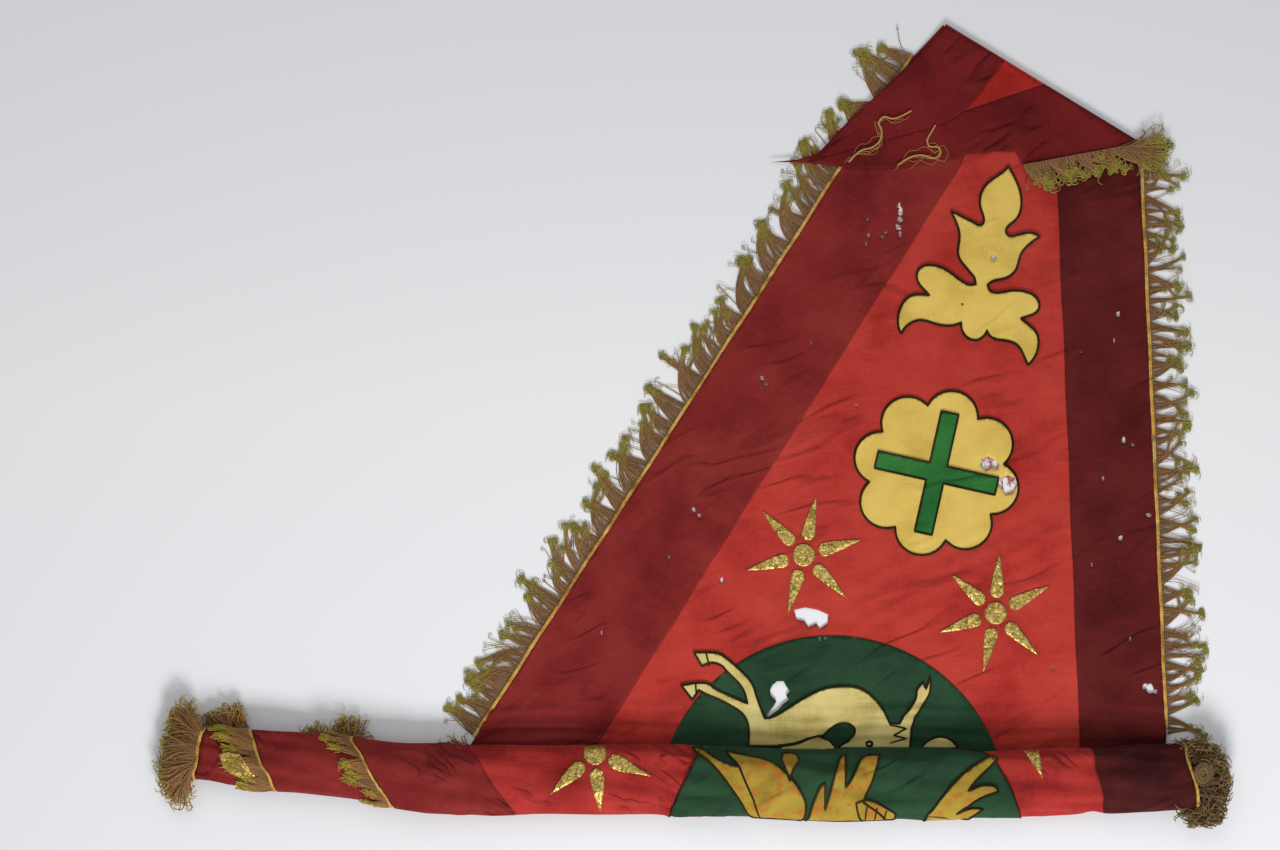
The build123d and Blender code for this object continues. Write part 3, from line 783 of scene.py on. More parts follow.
@dataclass(frozen=True)
class Crease:
    """The line on which the tip is folded over."""

    top: tuple[float, float] = (0.314, 0.505)
    angle_deg: float = -31.3
    low_mm: float = 0.1
    high_mm: float = 5.5
    cloth_mm: float = 0.8

    def along(self) -> np.ndarray:
        """The unit vector down the crease."""
        turn = math.radians(self.angle_deg)
        return np.array([math.cos(turn), math.sin(turn)])

    def back(self) -> np.ndarray:
        """The unit vector from the crease back over the cloth."""
        along = self.along()
        return np.array([along[1], -along[0]])

    def distance(self, xy: np.ndarray) -> np.ndarray:
        """How far points lie behind the crease, over the cloth."""
        return (xy - np.array(self.top)) @ self.back()

    def strip(
        self, name: str, start_mm: float, end_mm: float, material: bpy.types.Material
    ) -> Piece:
        """The rounded strip of cloth that turns over at the crease.

        Args:
            name: The piece's name.
            start_mm: Where it starts along the crease.
            end_mm: Where it ends.
            material: The finish.

        Returns:
            The object.
        """
        n, m = max(3, round((end_mm - start_mm) / 5)), 9
        runs = np.linspace(start_mm, end_mm, n) * MM
        turns = np.linspace(-math.pi / 2, math.pi / 2, m)
        middle = (self.low_mm + self.high_mm) / 2 * MM
        wide = (self.high_mm - self.low_mm) / 2 * MM
        rings = []
        for radius in (wide, wide - self.cloth_mm * MM):
            spots = np.array(self.top) + runs[:, None, None] * self.along()
            spots = spots - (radius * np.cos(turns))[None, :, None] * self.back()
            heights = np.broadcast_to(middle + radius * np.sin(turns), (n, m))
            rings.append(np.dstack([spots, heights]).reshape(-1, 3))
        half = n * m
        faces = []
        for i in range(n - 1):
            for j in range(m - 1):
                a, b, c, d = i * m + j, i * m + j + 1, (i + 1) * m + j + 1, (i + 1) * m + j
                faces += [(a, d, c, b), (a + half, b + half, c + half, d + half)]
            a, d = i * m, (i + 1) * m
            faces += [(a, a + half, d + half, d)]
            a, d = a + m - 1, d + m - 1
            faces += [(a, d, d + half, a + half)]
        for j in range(m - 1):
            faces += [(j, j + 1, j + 1 + half, j + half)]
            k = (n - 1) * m + j
            faces += [(k, k + half, k + 1 + half, k + 1)]
        made = new_piece(name, np.concatenate(rings), faces, material)
        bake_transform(made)
        return made


@dataclass(frozen=True)
class Drape:
    """The soft relief of the cloth that lies on the surface, and of the folded tip."""

    crease: Crease
    swell_mm: float = 0.55
    roll_fold_mm: float = 5.0
    diagonal_mm: float = 2.6
    # Folds beside the roll: their y in m, share of the height, width in m.
    roll_folds: tuple = (
        (-0.3835, 0.8, 0.0045), (-0.371, 1.0, 0.0048), (-0.3585, 0.6, 0.0042), (-0.347, 0.45, 0.005),
    )  # fmt: skip
    # Long folds down the field: distance from the first in m, share of the height.
    long_folds: tuple = ((0.0, 1.0), (0.019, 0.7), (-0.022, 0.6), (0.043, 0.5))

    def lift(self, x: np.ndarray, y: np.ndarray) -> np.ndarray:
        """The height of the lying cloth's underside above its lowest place."""
        swell = 1 + np.sin(x / 0.071 + 1.3) * np.sin(y / 0.057 + 0.4)
        swell += 0.5 * (1 + np.sin((x + 0.6 * y) / 0.031) * np.sin((y - 0.3 * x) / 0.043))
        folds = np.zeros_like(x)
        for place, deep, wide in self.roll_folds:
            line = place + 0.005 * np.sin(x / 0.09 + place * 900) + 0.003 * np.sin(x / 0.033)
            strength = 0.45 + 0.55 * np.sin(x / 0.12 + place * 500) ** 2
            folds += deep * strength * np.exp(-(((y - line) / wide) ** 2))
        slant = (x - 0.413) * 0.992 + (y - 0.041) * 0.124
        reach = np.exp(-((y / 0.14) ** 2)) * smooth_step(x, 0.36, 0.40)
        diagonal = reach * (
            np.exp(-((slant / 0.008) ** 2)) + 0.7 * np.exp(-(((slant - 0.045) / 0.014) ** 2))
        )
        down, over = 0.899 * (x - 0.198) + 0.438 * (y + 0.252), 0.899 * (y + 0.252) - 0.438 * (x - 0.198)
        spread = smooth_step(down, -0.02, 0.05) * smooth_step(-down, -0.32, -0.24)
        bow = 0.004 * np.sin(down / 0.045)
        long_folds = sum(
            high * np.exp(-(((over - off - bow) / 0.0065) ** 2))
            for off, high in self.long_folds
        )
        pucker = np.exp(-((((x - 0.567) / 0.02) ** 2) + ((y + 0.378) / 0.012) ** 2))
        away = self.crease.distance(np.column_stack([x, y]))
        calm = smooth_step(away, 0.1, 0.25)
        total = self.swell_mm * swell + self.roll_fold_mm * folds * smooth_step(-y, 0.33, 0.35)
        total = total + self.diagonal_mm * (diagonal + 0.8 * spread * long_folds) + 3.0 * pucker
        return total * calm * MM

    def tip_sink(self, x: np.ndarray, y: np.ndarray) -> np.ndarray:
        """How far the folded tip's cloth sags between its ridges."""
        away = self.crease.distance(np.column_stack([x, y]))
        across = (np.column_stack([x, y]) - np.array(self.crease.top)) @ self.crease.along()
        ridges = 1 + np.sin(away / 0.019 + across / 0.05) * np.cos(across / 0.028 + 0.7)
        return -0.8 * ridges * smooth_step(away, 0.004, 0.05) * MM

    def on(self, flat: np.ndarray, height_mm: float, tip: bool = False) -> np.ndarray:
        """Puts flat points on the cloth, height_mm above its underside's level."""
        rise = (self.tip_sink if tip else self.lift)(flat[:, 0], flat[:, 1])
        return np.column_stack([flat, rise + height_mm * MM])


@dataclass(frozen=True)
class Roll:
    """The rolled foot of the cloth."""

    places_mm: tuple = (-640, -333, -64, 198, 398, 640)
    middles_mm: tuple = (-398, -435, -435, -442, -439, -430)
    halves_mm: tuple = (38, 44, 44, 44, 42, 42)
    height_mm: float = 42.0
    lowest_mm: float = 0.15
    # Sharp ridges across the roll: turns round it, pitch along it in m, phase, height in mm.
    ridges: tuple = ((2.0, 0.043, 0.3, 2.0), (-3.0, 0.061, 1.7, 1.8), (1.2, 0.029, 4.0, 1.3))

    def line(self, x: np.ndarray) -> tuple[np.ndarray, np.ndarray]:
        """The middle line and half width at x."""
        mm = np.asarray(x) / MM
        soft = [
            sum(np.interp(mm + d, self.places_mm, v) for d in (-40, -20, 0, 20, 40)) / 5 * MM
            for v in (self.middles_mm, self.halves_mm)
        ]
        return soft[0], soft[1]

    def surface(self, x: np.ndarray, theta: np.ndarray, lift_mm: np.ndarray | float) -> np.ndarray:
        """Points on the winding that lies lift_mm above the roll's outer form.

        Args:
            x: Places along the roll.
            theta: Angles round it, from the side by the face over the top.
            lift_mm: Height above the outer form.

        Returns:
            The points.
        """
        middle, half = self.line(x)
        tall = self.height_mm / 2 * MM
        wrinkle = 1.3 * np.sin(5 * theta + x / 0.09 + 1.1 * np.sin(x / 0.041))
        wrinkle += 1.2 * np.sin(9 * theta - x / 0.029) * np.sin(x / 0.083 + 2)
        wrinkle += 1.5 * np.sin(x / 0.047 + 2.4 * np.cos(theta)) * np.sin(x / 0.17 + 1)
        for twist, reach, at, high in self.ridges:
            bend = twist * theta + x / reach + at + 0.9 * np.sin(x / 0.053 + 2 * theta)
            wrinkle += high * ((1 - np.abs(np.sin(bend / 2))) ** 2 - 0.25)
        pinch = np.exp(-(((x - 0.505 - 0.19 * 0.042 * np.cos(theta)) / 0.011) ** 2))
        radial = (np.asarray(lift_mm) + wrinkle - 1.2 - 2.6 * pinch) * MM
        y = middle + (half + radial) * np.cos(theta)
        z = tall + (tall + radial) * np.sin(theta)
        return np.column_stack([x, y, np.maximum(z, self.lowest_mm * MM)])

    def wrap(self, flat: np.ndarray, lift_mm: float) -> np.ndarray:
        """Lays points drawn from above on the roll; those past its front edge go under it."""
        middle, half = self.line(flat[:, 0])
        q = (flat[:, 1] - middle) / half
        theta = np.arccos(np.clip(q, -1, 1)) + np.clip(-1 - q, 0, 1.2) - np.clip(q - 1, 0, 0.6)
        return self.surface(flat[:, 0], theta, lift_mm)

    def winding(
        self, name: str, left: "Cut", right: "Cut", lift_mm: float, thick_mm: float,
        material: bpy.types.Material,
    ) -> Piece:
        """One winding of cloth between two cuts, as a closed thin tube.

        Args:
            name: The piece's name.
            left: The cut at its left end.
            right: The cut at its right end.
            lift_mm: Its outer side above the outer form.
            thick_mm: The cloth's thickness.
            material: The finish.

        Returns:
            The object.
        """
        n = max(3, round((right.place_mm - left.place_mm) / 5))
        m = 96
        share, theta = np.meshgrid(
            np.linspace(0, 1, n), np.linspace(0, 2 * math.pi, m, endpoint=False), indexing="ij"
        )
        x = left.at(self, theta) * (1 - share) + right.at(self, theta) * share
        rings = [
            self.surface(x.ravel(), theta.ravel(), high) for high in (lift_mm, lift_mm - thick_mm)
        ]
        half = n * m
        faces = []
        for i in range(n - 1):
            for j in range(m):
                k = (j + 1) % m
                a, b, c, d = i * m + j, i * m + k, (i + 1) * m + k, (i + 1) * m + j
                faces += [(a, b, c, d), (a + half, d + half, c + half, b + half)]
        for j in range(m):
            k, last = (j + 1) % m, (n - 1) * m
            faces += [
                (j, j + half, k + half, k),
                (last + j, last + k, last + k + half, last + j + half),
            ]
        return new_piece(name, np.concatenate(rings), faces, material)


@dataclass(frozen=True)
class Cut:
    """A leaning line across the roll: its place on the middle line and its lean."""

    place_mm: float
    lean: float

    def at(self, roll: Roll, theta: np.ndarray) -> np.ndarray:
        """x on the cut at each angle round the roll, with the edge's small waves."""
        half = roll.line(np.array(self.place_mm * MM))[1]
        wave = 1.2 * MM * np.sin(4 * theta + self.place_mm)
        return self.place_mm * MM + self.lean * half * np.cos(theta) + wave


# ---------------------------------------------------------------------------------------------
# Fringes and headings
# ---------------------------------------------------------------------------------------------


@dataclass(frozen=True)
class Fringe:
    """Fine twisted strands hung from a heading, which draw together into curled tufts."""

    length_mm: float = 60.0
    radius_mm: float = 0.45
    pitch_mm: float = 1.3
    layers: int = 2
    tuft_mm: tuple[float, float] = (12.0, 30.0)
    gather: float = 0.3  # how soon the strands of a tuft run together
    short: float = 0.62
    ceiling_mm: float = 3.5
    foot_lean: float = 0.0  # how much more the first tufts lean along the run

    def strand(
        self, rng: Rng, root: np.ndarray, heading: float, length: float, lean: float,
        level_mm: float, curl: float = 1.0,
    ) -> np.ndarray:
        """One wavy strand with a curled tip, lying flat.

        Args:
            rng: The random source.
            root: Its upper end.
            heading: Its first direction, in radians.
            length: Its length.
            lean: How far it turns before its tip.
            level_mm: The height at which it lies.
            curl: How strongly the tip curls.

        Returns:
            Its points.
        """
        n = 13
        t = np.linspace(0, 1, n)
        wave = rng.uniform(0.10, 0.34) * np.sin(2 * math.pi * (t * rng.uniform(0.8, 2.2) + rng.random()))
        turn = rng.choice([-1, 1]) * rng.uniform(0.6, 5.2) * curl
        angle = heading + lean * t + wave * t + turn * np.clip((t - 0.7) / 0.3, 0, 1) ** 1.4
        step = length / (n - 1)
        moves = np.column_stack([np.cos(angle), np.sin(angle)]) * step
        flat = np.asarray(root)[:2] + np.vstack([[0, 0], np.cumsum(moves[:-1], axis=0)])
        bow = level_mm + 0.9 * np.sin(math.pi * t) - 0.5 * t + 0.6 * np.sin(9 * t + rng.random() * 6)
        return np.column_stack([flat, np.maximum(bow, self.radius_mm * 1.02) * MM])

    def to_knot(
        self, rng: Rng, root: np.ndarray, middle: np.ndarray, knot: np.ndarray, out: np.ndarray,
        length: float, low_mm: float,
    ) -> np.ndarray:
        """One strand that bows from its root to a tuft's knot and curls there."""
        t = np.linspace(0, 1, 9)[:, None]
        bend = root + out * length * rng.uniform(0.35, 0.6) + rng.normal(0, 1.5, 2) * MM
        bend = bend + (middle + out * length * 0.3 - bend) * self.gather
        reach = knot + rng.normal(0, 2.0 - self.gather, 2) * MM
        line = root * (1 - t) ** 2 + bend * 2 * t * (1 - t) + reach * t**2
        line += rng.normal(0, 0.25, (9, 2)) * MM * t
        angle = math.atan2(*(line[-1] - line[-2])[::-1]) + rng.normal(0, 0.5)
        spin = rng.choice([-1, 1]) * rng.uniform(0.5, 1.5)
        step = rng.uniform(1.6, 3.0) * MM
        tail = []
        here = line[-1]
        for _ in range(5):
            angle += spin
            here = here + step * np.array([math.cos(angle), math.sin(angle)])
            tail.append(here)
        flat = np.vstack([line, tail])
        rise = np.linspace(0, 1, len(flat))
        high = low_mm + rng.random() * (self.ceiling_mm - low_mm) * (0.35 + 0.65 * rise)
        high = high + 0.3 * np.sin(9 * rise + rng.random() * 6) - 0.3
        return np.column_stack([flat, np.maximum(high, self.radius_mm * 1.05) * MM])

    def hang(
        self, guides: Guides, rng: Rng, start: np.ndarray, end: np.ndarray, out: np.ndarray,
        floor_mm: float, drift: float = 0.3, sweep: float = 0.0,
    ) -> None:
        """Hangs strands from a straight run.

        Args:
            guides: Gets the strands.
            rng: The random source.
            start: The run's first end.
            end: Its other end.
            out: The unit vector away from the cloth.
            floor_mm: The height of what the strands lie on.
            drift: How far, on average, a tuft leans along the run for its length.
            sweep: How much more the last tufts lean.
        """
        start, end = np.asarray(start), np.asarray(end)
        run = np.linalg.norm(end - start)
        along = (end - start) / run
        edges = [0.0]
        while edges[-1] < run:
            edges.append(edges[-1] + rng.uniform(*self.tuft_mm) * MM)
        edges[-1] = run
        for a, b in zip(edges, edges[1:]):
            length = self.length_mm * MM * rng.uniform(self.short, 1.0)
            middle = start + along * (a + b) / 2
            lean = float(np.clip(rng.normal(drift, 0.3), -0.45, 0.8))
            lean += sweep * max(0.0, (a / run - 0.7) / 0.3)
            lean += self.foot_lean * max(0.0, 1 - a / run / 0.25)
            knot = start + along * ((a + b) / 2 + lean * length)
            knot = knot + out * length * max(0.45, 1 - 0.35 * abs(lean)) * 0.9
            second = knot + along * rng.normal(0, 6) * MM - out * rng.uniform(6, 16) * MM
            for _ in range(self.layers):
                for s in np.arange(a, b, self.pitch_mm * MM):
                    root = start + along * float(np.clip(s + rng.normal(0, 0.5) * MM, 0, run))
                    goal = second if rng.random() < 0.3 else knot
                    if rng.random() < 0.07:
                        goal = root + out * length * 0.8 + along * rng.normal(0, 12) * MM
                    path = self.to_knot(rng, root, middle, goal, out, length, floor_mm + self.radius_mm)
                    guides.add(path, rng.uniform(0.75, 1.2), rng.random())


def braid(
    guides: Guides, centre: np.ndarray, side: np.ndarray, up: np.ndarray,
    width_mm: float, pitch_mm: float = 9.0,
) -> None:
    """Adds four plaited cords along a heading.

    Args:
        guides: Gets the cords.
        centre: The heading's middle line.
        side: Its sideways unit vectors.
        up: Its upward unit vectors.
        width_mm: Its width.
        pitch_mm: The length of one plait.
    """
    run = np.concatenate([[0], np.cumsum(np.linalg.norm(np.diff(centre, axis=0), axis=1))])
    for k in range(4):
        phase = 2 * math.pi * (run / (pitch_mm * MM) + k / 4)
        across = (width_mm / 2 - 1.2) * MM * np.sin(phase)
        over = 0.55 * MM * np.sin(2 * phase)
        path = centre + side * across[:, None] + up * over[:, None]
        guides.add(path, 1.0, 0.35 + 0.3 * (k % 2))


def straight_run(heading: str, fringe: str) -> tuple[np.ndarray, np.ndarray, np.ndarray, float]:
    """A straight heading's middle line ends, its outward unit vector and its width."""
    loop, beyond = node_outlines(heading)[0], node_outlines(fringe)[0].mean(0)
    sides = [(loop[i], loop[(i + 1) % len(loop)]) for i in range(len(loop))]
    sides.sort(key=lambda e: -np.linalg.norm(e[1] - e[0]))
    (a, b), (c, d) = sides[:2]
    if a[1] > b[1]:
        a, b = b, a
    if c[1] > d[1]:
        c, d = d, c
    start, end = (a + c) / 2, (b + d) / 2
    along = (end - start) / np.linalg.norm(end - start)
    out = np.array([-along[1], along[0]])
    if (beyond - start) @ out < 0:
        out = -out
    return start, end, out, abs((c - a) @ out)


# ---------------------------------------------------------------------------------------------
# The builders
# ---------------------------------------------------------------------------------------------


DESIGN: dict = {}
# Moth holes: place and radius.
HOLES_MM = (
    (259, 279, 2.2), (261, 272, 2.8), (260, 262, 2.4), (258, 252, 2.6), (261, 243, 2.0),
    (243, 246, 1.7), (238, 240, 1.5), (221, 243, 1.9), (220, 262, 1.4), (218, 232, 1.3),
    (88, 63, 1.9), (93, 56, 1.5), (150, 107, 1.3), (3, -101, 1.8), (10, -108, 1.6),
    (38, -189, 2.0), (-28, -160, 1.3), (-112, -255, 1.3), (533, 144, 2.0), (528, 110, 1.4),
    (540, -14, 2.4), (551, -20, 1.5), (514, -62, 1.6), (571, -108, 2.2), (577, -116, 2.6),
    (581, -124, 2.0), (536, -136, 1.9), (548, -262, 1.4), (566, -322, 2.6), (573, -325, 3.4),
    (579, -328, 2.2), (486, 96, 1.3), (206, 30, 1.2), (160, -262, 1.2), (452, -300, 1.2),
    (167, -262, 1.2), (8, -342, 1.3), (338, 156, 1.2), (377, 214, 2.4), (500, -170, 1.2),
)  # fmt: skip
# Tears: the outlines of two in the rosette, one in the field and one in the roundel.
TEARS_MM = (
    ((362, -38), (370, -34), (377, -38), (384, -43), (383, -51), (375, -48), (368, -53), (361, -46)),
    ((385, -62), (394, -58), (404, -61), (407, -70), (402, -80), (392, -83), (389, -75), (382, -70)),
    ((128, -226), (142, -223), (158, -226), (171, -232), (170, -243), (160, -250), (156, -243),
     (146, -248), (141, -240), (131, -238)),
    ((107, -315), (115, -315), (118, -321), (123, -328), (118, -333), (122, -338), (114, -344),
     (109, -350), (101, -356), (95, -360), (94, -356), (102, -347), (106, -340), (99, -333),
     (98, -326), (101, -320)),
)  # fmt: skip


@dataclass
class LyingCloth:
    """The face of the pennant: three seamed panels, their motifs and their outlines."""

    drape: Drape
    finish: Finishes
    step_mm: float = 4.6
    lap_mm: float = 3.0
    seed: int = 11
    threads_per_tear: int = 13
    belly: tuple = (
        (110, -401), (115, -396), (130, -392), (145, -386), (158, -383), (172, -389), (180, -400),
    )  # fmt: skip

    def holes(self, loop: Loop, margin_mm: float = 3.0) -> list[Loop]:
        """The moth holes and tears that lie wholly inside a loop."""
        rng = np.random.default_rng(self.seed)
        found = []
        for x, y, r in HOLES_MM:
            turns = np.linspace(0, 2 * math.pi, 9, endpoint=False)
            reach = 1.55 * r * rng.uniform(0.6, 1.25, 9)
            slit = rng.uniform(0.8, 1.7)
            ring = np.column_stack([x + reach * np.cos(turns) / slit, y + reach * np.sin(turns) * slit])
            found.append(ring * MM)
        spread = lambda h, by: h.mean(0) + (h - h.mean(0)) * by
        found = [h for h in found if inside(loop, spread(h, 1 + margin_mm / 6)).all()]
        tears = [np.array(t, float) * MM for t in TEARS_MM]
        return found + [h for h in tears if inside(loop, spread(h, 1.08)).all()]

    def waved(self, loop: Loop, rough_mm: float = 0.5) -> Loop:
        """A loop whose long sides wander a little, as cut cloth does."""
        loop = resample(loop, self.step_mm * MM)
        drift = rough_mm * MM * np.column_stack(
            [np.sin(loop[:, 1] / 0.023 + loop[:, 0] / 0.05), np.sin(loop[:, 0] / 0.027)]
        )
        return loop + drift

    def grown(self, loop: Loop, by: float) -> Loop:
        """A loop moved outwards by a distance."""
        before, after = np.roll(loop, 1, 0), np.roll(loop, -1, 0)
        d1 = (loop - before) / np.linalg.norm(loop - before, axis=1)[:, None]
        d2 = (after - loop) / np.linalg.norm(after - loop, axis=1)[:, None]
        normal = np.column_stack([d1[:, 1] + d2[:, 1], -(d1[:, 0] + d2[:, 0])])
        normal /= np.maximum(np.linalg.norm(normal, axis=1), 1e-6)[:, None]
        turn = (loop[:, 0] * after[:, 1] - after[:, 0] * loop[:, 1]).sum()
        return loop + normal * (by if turn > 0 else -by)

    def flat(
        self, name: str, loop: Loop, low_mm: float, high_mm: float, material: bpy.types.Material,
        step_mm: float | None = None, rough: float = 0.0, tip: bool = False, cut: bool = True,
    ) -> Piece:
        """One flat piece of cloth laid on the drape.

        Args:
            name: The piece's name.
            loop: Its outline.
            low_mm: Its underside above the drape.
            high_mm: Its upper side.
            material: The finish.
            step_mm: The size of its triangles.
            rough: Height of random crinkles.
            tip: Whether it lies on the folded tip.
            cut: Whether the holes go through it.

        Returns:
            The object.
        """
        holes = self.holes(loop) if cut else []
        points, faces = triangulate(loop, holes, (step_mm or self.step_mm) * MM)
        noise = np.random.default_rng(len(points)).random(len(points)) * rough
        crinkle = np.column_stack([0 * noise, 0 * noise, noise * MM])
        top = lambda p: self.drape.on(p, high_mm, tip) + crinkle
        under = lambda p: self.drape.on(p, low_mm, tip) + crinkle
        return thick_piece(name, points, faces, top, under, material)

    def outline(self, guides: Guides, loop: Loop, height_mm: float) -> None:
        """Lays a couched cord along a loop."""
        even = resample(loop, 3 * MM)
        guides.add(self.drape.on(even, height_mm), 1.0, 0.5, closed=True)

    def build(self) -> None:
        """Builds the panels, the motifs, the foil stars and the cords."""
        done = self.finish
        crease = self.drape.crease
        strips = {
            "left_border_fold": (3, 89, done.left_burgundy, Slot.BURGUNDY),
            "field_fold": (89, 145, done.red, Slot.RED),
            "right_border_fold": (145, 286, done.right_burgundy, Slot.BURGUNDY),
        }
        for name, (start, end, material, slot) in strips.items():
            crease.strip(name, start, end, material)
        # Name, underside and upper side in mm, finish, slot, length in m.
        panels = (
            ("left_border", 0.85, 1.5, done.left_burgundy, Slot.BURGUNDY, 1.10),
            ("field", 0.15, 0.85, done.red, Slot.RED, 0.90),
            ("right_border", 0.85, 1.5, done.right_burgundy, Slot.BURGUNDY, 0.85),
        )
        for name, low, high, material, slot, length in panels:
            loop = self.waved(node_outlines(name)[0])
            if name == "field":
                loop = self.grown(loop, self.lap_mm * MM)
                behind = crease.distance(loop)
                loop = loop + np.maximum(-behind, 0)[:, None] * crease.back()
            piece = keep(self.flat(name, loop, low, high, material), Body.SHEET, slot, name)
        self.motifs()

    def motifs(self) -> None:
        """Builds everything sewn on the face."""
        done = self.finish
        cords = {"flower": Guides(), "rosette": Guides(), "cross": Guides(), "animal": Guides()}
        # Name, underside and upper side in mm, finish, slot, size of the triangles in mm.
        spec = (
            ("flower", 1.5, 2.2, done.gold, Slot.GOLD, 4.0),
            ("rosette", 0.9, 1.6, done.gold, Slot.GOLD, 4.0),
            ("cross", 1.6, 2.3, done.cross_green, Slot.GREEN, 4.0),
            ("roundel", 0.9, 1.6, done.green, Slot.GREEN, 5.0),
            ("animal", 1.6, 2.3, done.cream_gold, Slot.GOLD, 4.0),
            ("half_disc", 1.6, 2.3, done.cream_gold, Slot.GOLD, 4.0),
        )
        for name, low, high, material, slot, step in spec:
            loop = node_outlines(name)[0]
            if name in ("flower", "animal"):
                loop = soften(loop, 62)
            keep(self.flat(name, loop, low, high, material, step), Body.SHEET, slot, name)
            group = {"half_disc": "animal"}.get(name, name)
            if group in cords:
                self.outline(cords[group], loop, high)
        belly = soften(np.array(self.belly) * MM)
        patch = self.flat("belly", belly, 1.6, 2.2, done.cream_gold, 4.0, cut=False)
        keep(patch, Body.SHEET, Slot.GOLD)
        self.face_marks(cords["animal"])
        radii = {"flower": 1.5, "rosette": 1.5, "cross": 1.3, "animal": 1.45}
        for name, guides in cords.items():
            made = guides.build(f"{name}_cord", radii[name], done.cord, 6)
            nodes = [f"{name}_cord"] if f"{name}_cord" in DESIGN["nodes"] else []
            keep(made, Body.SHEET, Slot.CORD, *nodes)
        for name in ("star_left", "star_right"):
            for i, loop in enumerate(node_outlines(name)):
                label = f"{name}_{i + 1}"
                piece = self.flat(label, loop, 0.9, 1.5, done.foil, 3.0, rough=0.9, cut=False)
                keep(piece, Body.SHEET, Slot.FOIL, name)
        self.shreds()

    def face_marks(self, cords: Guides) -> None:
        """Adds the animal's eye, its mane and the lines of its belly and hooves."""
        turns = np.linspace(0, 2 * math.pi, 20, endpoint=False)
        eye = np.column_stack([222 + 3.6 * np.cos(turns), -393 + 3.0 * np.sin(turns)]) * MM
        self.outline(cords, eye, 2.5)
        lines = (
            ((247, -369), (268, -374), (252, -382), (268, -386), (248, -392)),
            ((108, -395), (130, -392), (145, -386), (158, -383), (172, -389), (182, -400)),
            ((18, -279), (22, -296)),
            ((5, -318), (6, -332)),
            ((178, -400), (190, -393), (198, -389)),
        )
        for line in lines:
            even = resample(np.array(line, float) * MM, 2 * MM, False)
            cords.add(self.drape.on(even, 2.5), 0.8, 0.5)

    def shreds(self) -> None:
        """Adds the torn threads that cross the rosette's two tears."""
        rng = np.random.default_rng(self.seed + 5)
        guides = Guides()
        for tear in TEARS_MM[:2]:
            ring = np.array(tear, float) * MM
            for _ in range(self.threads_per_tear):
                first = int(rng.integers(len(ring)))
                a, b = ring[first], ring[(first + int(rng.integers(1, 4))) % len(ring)]
                t = np.linspace(0, rng.uniform(0.5, 1.0), 8)[:, None]
                bend = np.array([b[1] - a[1], a[0] - b[0]]) * rng.uniform(-0.25, 0.25)
                flat = a + (b - a) * t + bend * np.sin(math.pi * t)
                guides.add(self.drape.on(flat, 1.2), rng.uniform(0.6, 1.3), rng.random())
        keep(guides.build("torn_threads", 0.45, self.finish.red_thread, 4), Body.SHEET, Slot.RED)


@dataclass
class FoldedTip:
    """The tip of the pennant, folded over onto the face, with its loose threads."""

    cloth: LyingCloth
    finish: Finishes
    level_mm: float = 4.7
    thread_mm: float = 2.0
    thread_z_mm: float = 6.7
    smoothed: float = 0.955  # a smoothed route's share of the length over its corners
    long_route: tuple = (
        (274, 397), (262, 390), (250, 386), (240, 391), (232, 383), (238, 371), (235, 358),
        (224, 350), (213, 349), (204, 342), (196, 333),
    )  # fmt: skip
    short_route: tuple = (
        (304, 379), (299, 370), (293, 361), (296, 351), (308, 353), (312, 344), (303, 336),
        (290, 342), (277, 341), (266, 336), (257, 329),
    )  # fmt: skip

    def build(self) -> None:
        """Builds the tip's panels and threads."""
        done = self.finish
        panels = (
            ("tip_left_border", 0.0, done.tip_burgundy, Slot.BURGUNDY, 0.24),
            ("tip_right_border", 0.05, done.tip_burgundy, Slot.BURGUNDY, 0.26),
            ("tip_field", 0.0, done.tip_red, Slot.RED, 0.09),
            ("tip_tail", -0.1, done.tip_burgundy, Slot.BURGUNDY, 0.05),
        )
        for name, shift, material, slot, length in panels:
            loop = node_outlines(name)[0]
            if name != "tip_tail":
                loop = self.cloth.waved(loop, 0.4)
                loop = self.cloth.grown(loop, 0.6 * MM)
            low = self.level_mm + shift
            piece = self.cloth.flat(name, loop, low, low + 0.8, material, 5.0, tip=True, cut=False)
            keep(piece, Body.TIP, slot, name)
        rng = np.random.default_rng(3)
        fine = Guides()
        for name, route in (("long_thread", self.long_route), ("short_thread", self.short_route)):
            self.thread(name, route)
            for _ in range(4):
                line = resample(np.array(route, float) * MM, 5 * MM, False)
                line = line[rng.integers(0, len(line) // 2) :]
                line = line + np.cumsum(rng.normal(0, 1.5, line.shape), 0) * MM
                high = self.thread_z_mm - 0.7 + rng.random()
                fine.add(np.column_stack([line, np.full(len(line), high * MM)]), 1.0, rng.random())
        keep(fine.build("fine_threads", 0.25, done.thread, 4), Body.TIP, Slot.THREAD)

    def thread(self, name: str, route: Sequence[tuple[float, float]]) -> None:
        """Lays one loose thread along its route."""
        data = bpy.data.curves.new(name, "CURVE")
        data.dimensions = "3D"
        data.bevel_depth = self.thread_mm / 2 * MM
        data.bevel_resolution = 3
        data.use_fill_caps = True
        line = data.splines.new("NURBS")
        line.points.add(len(route) - 1)
        for point, (x, y) in zip(line.points, route):
            point.co = (x * MM, y * MM, self.thread_z_mm * MM, 1)
        line.order_u = 3
        line.use_endpoint_u = True
        line.resolution_u = 8
        data.materials.append(self.finish.thread)
        made = bpy.data.objects.new(name, data)
        bpy.context.scene.collection.objects.link(made)
        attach(made, Body.TIP.value)
        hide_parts(name)


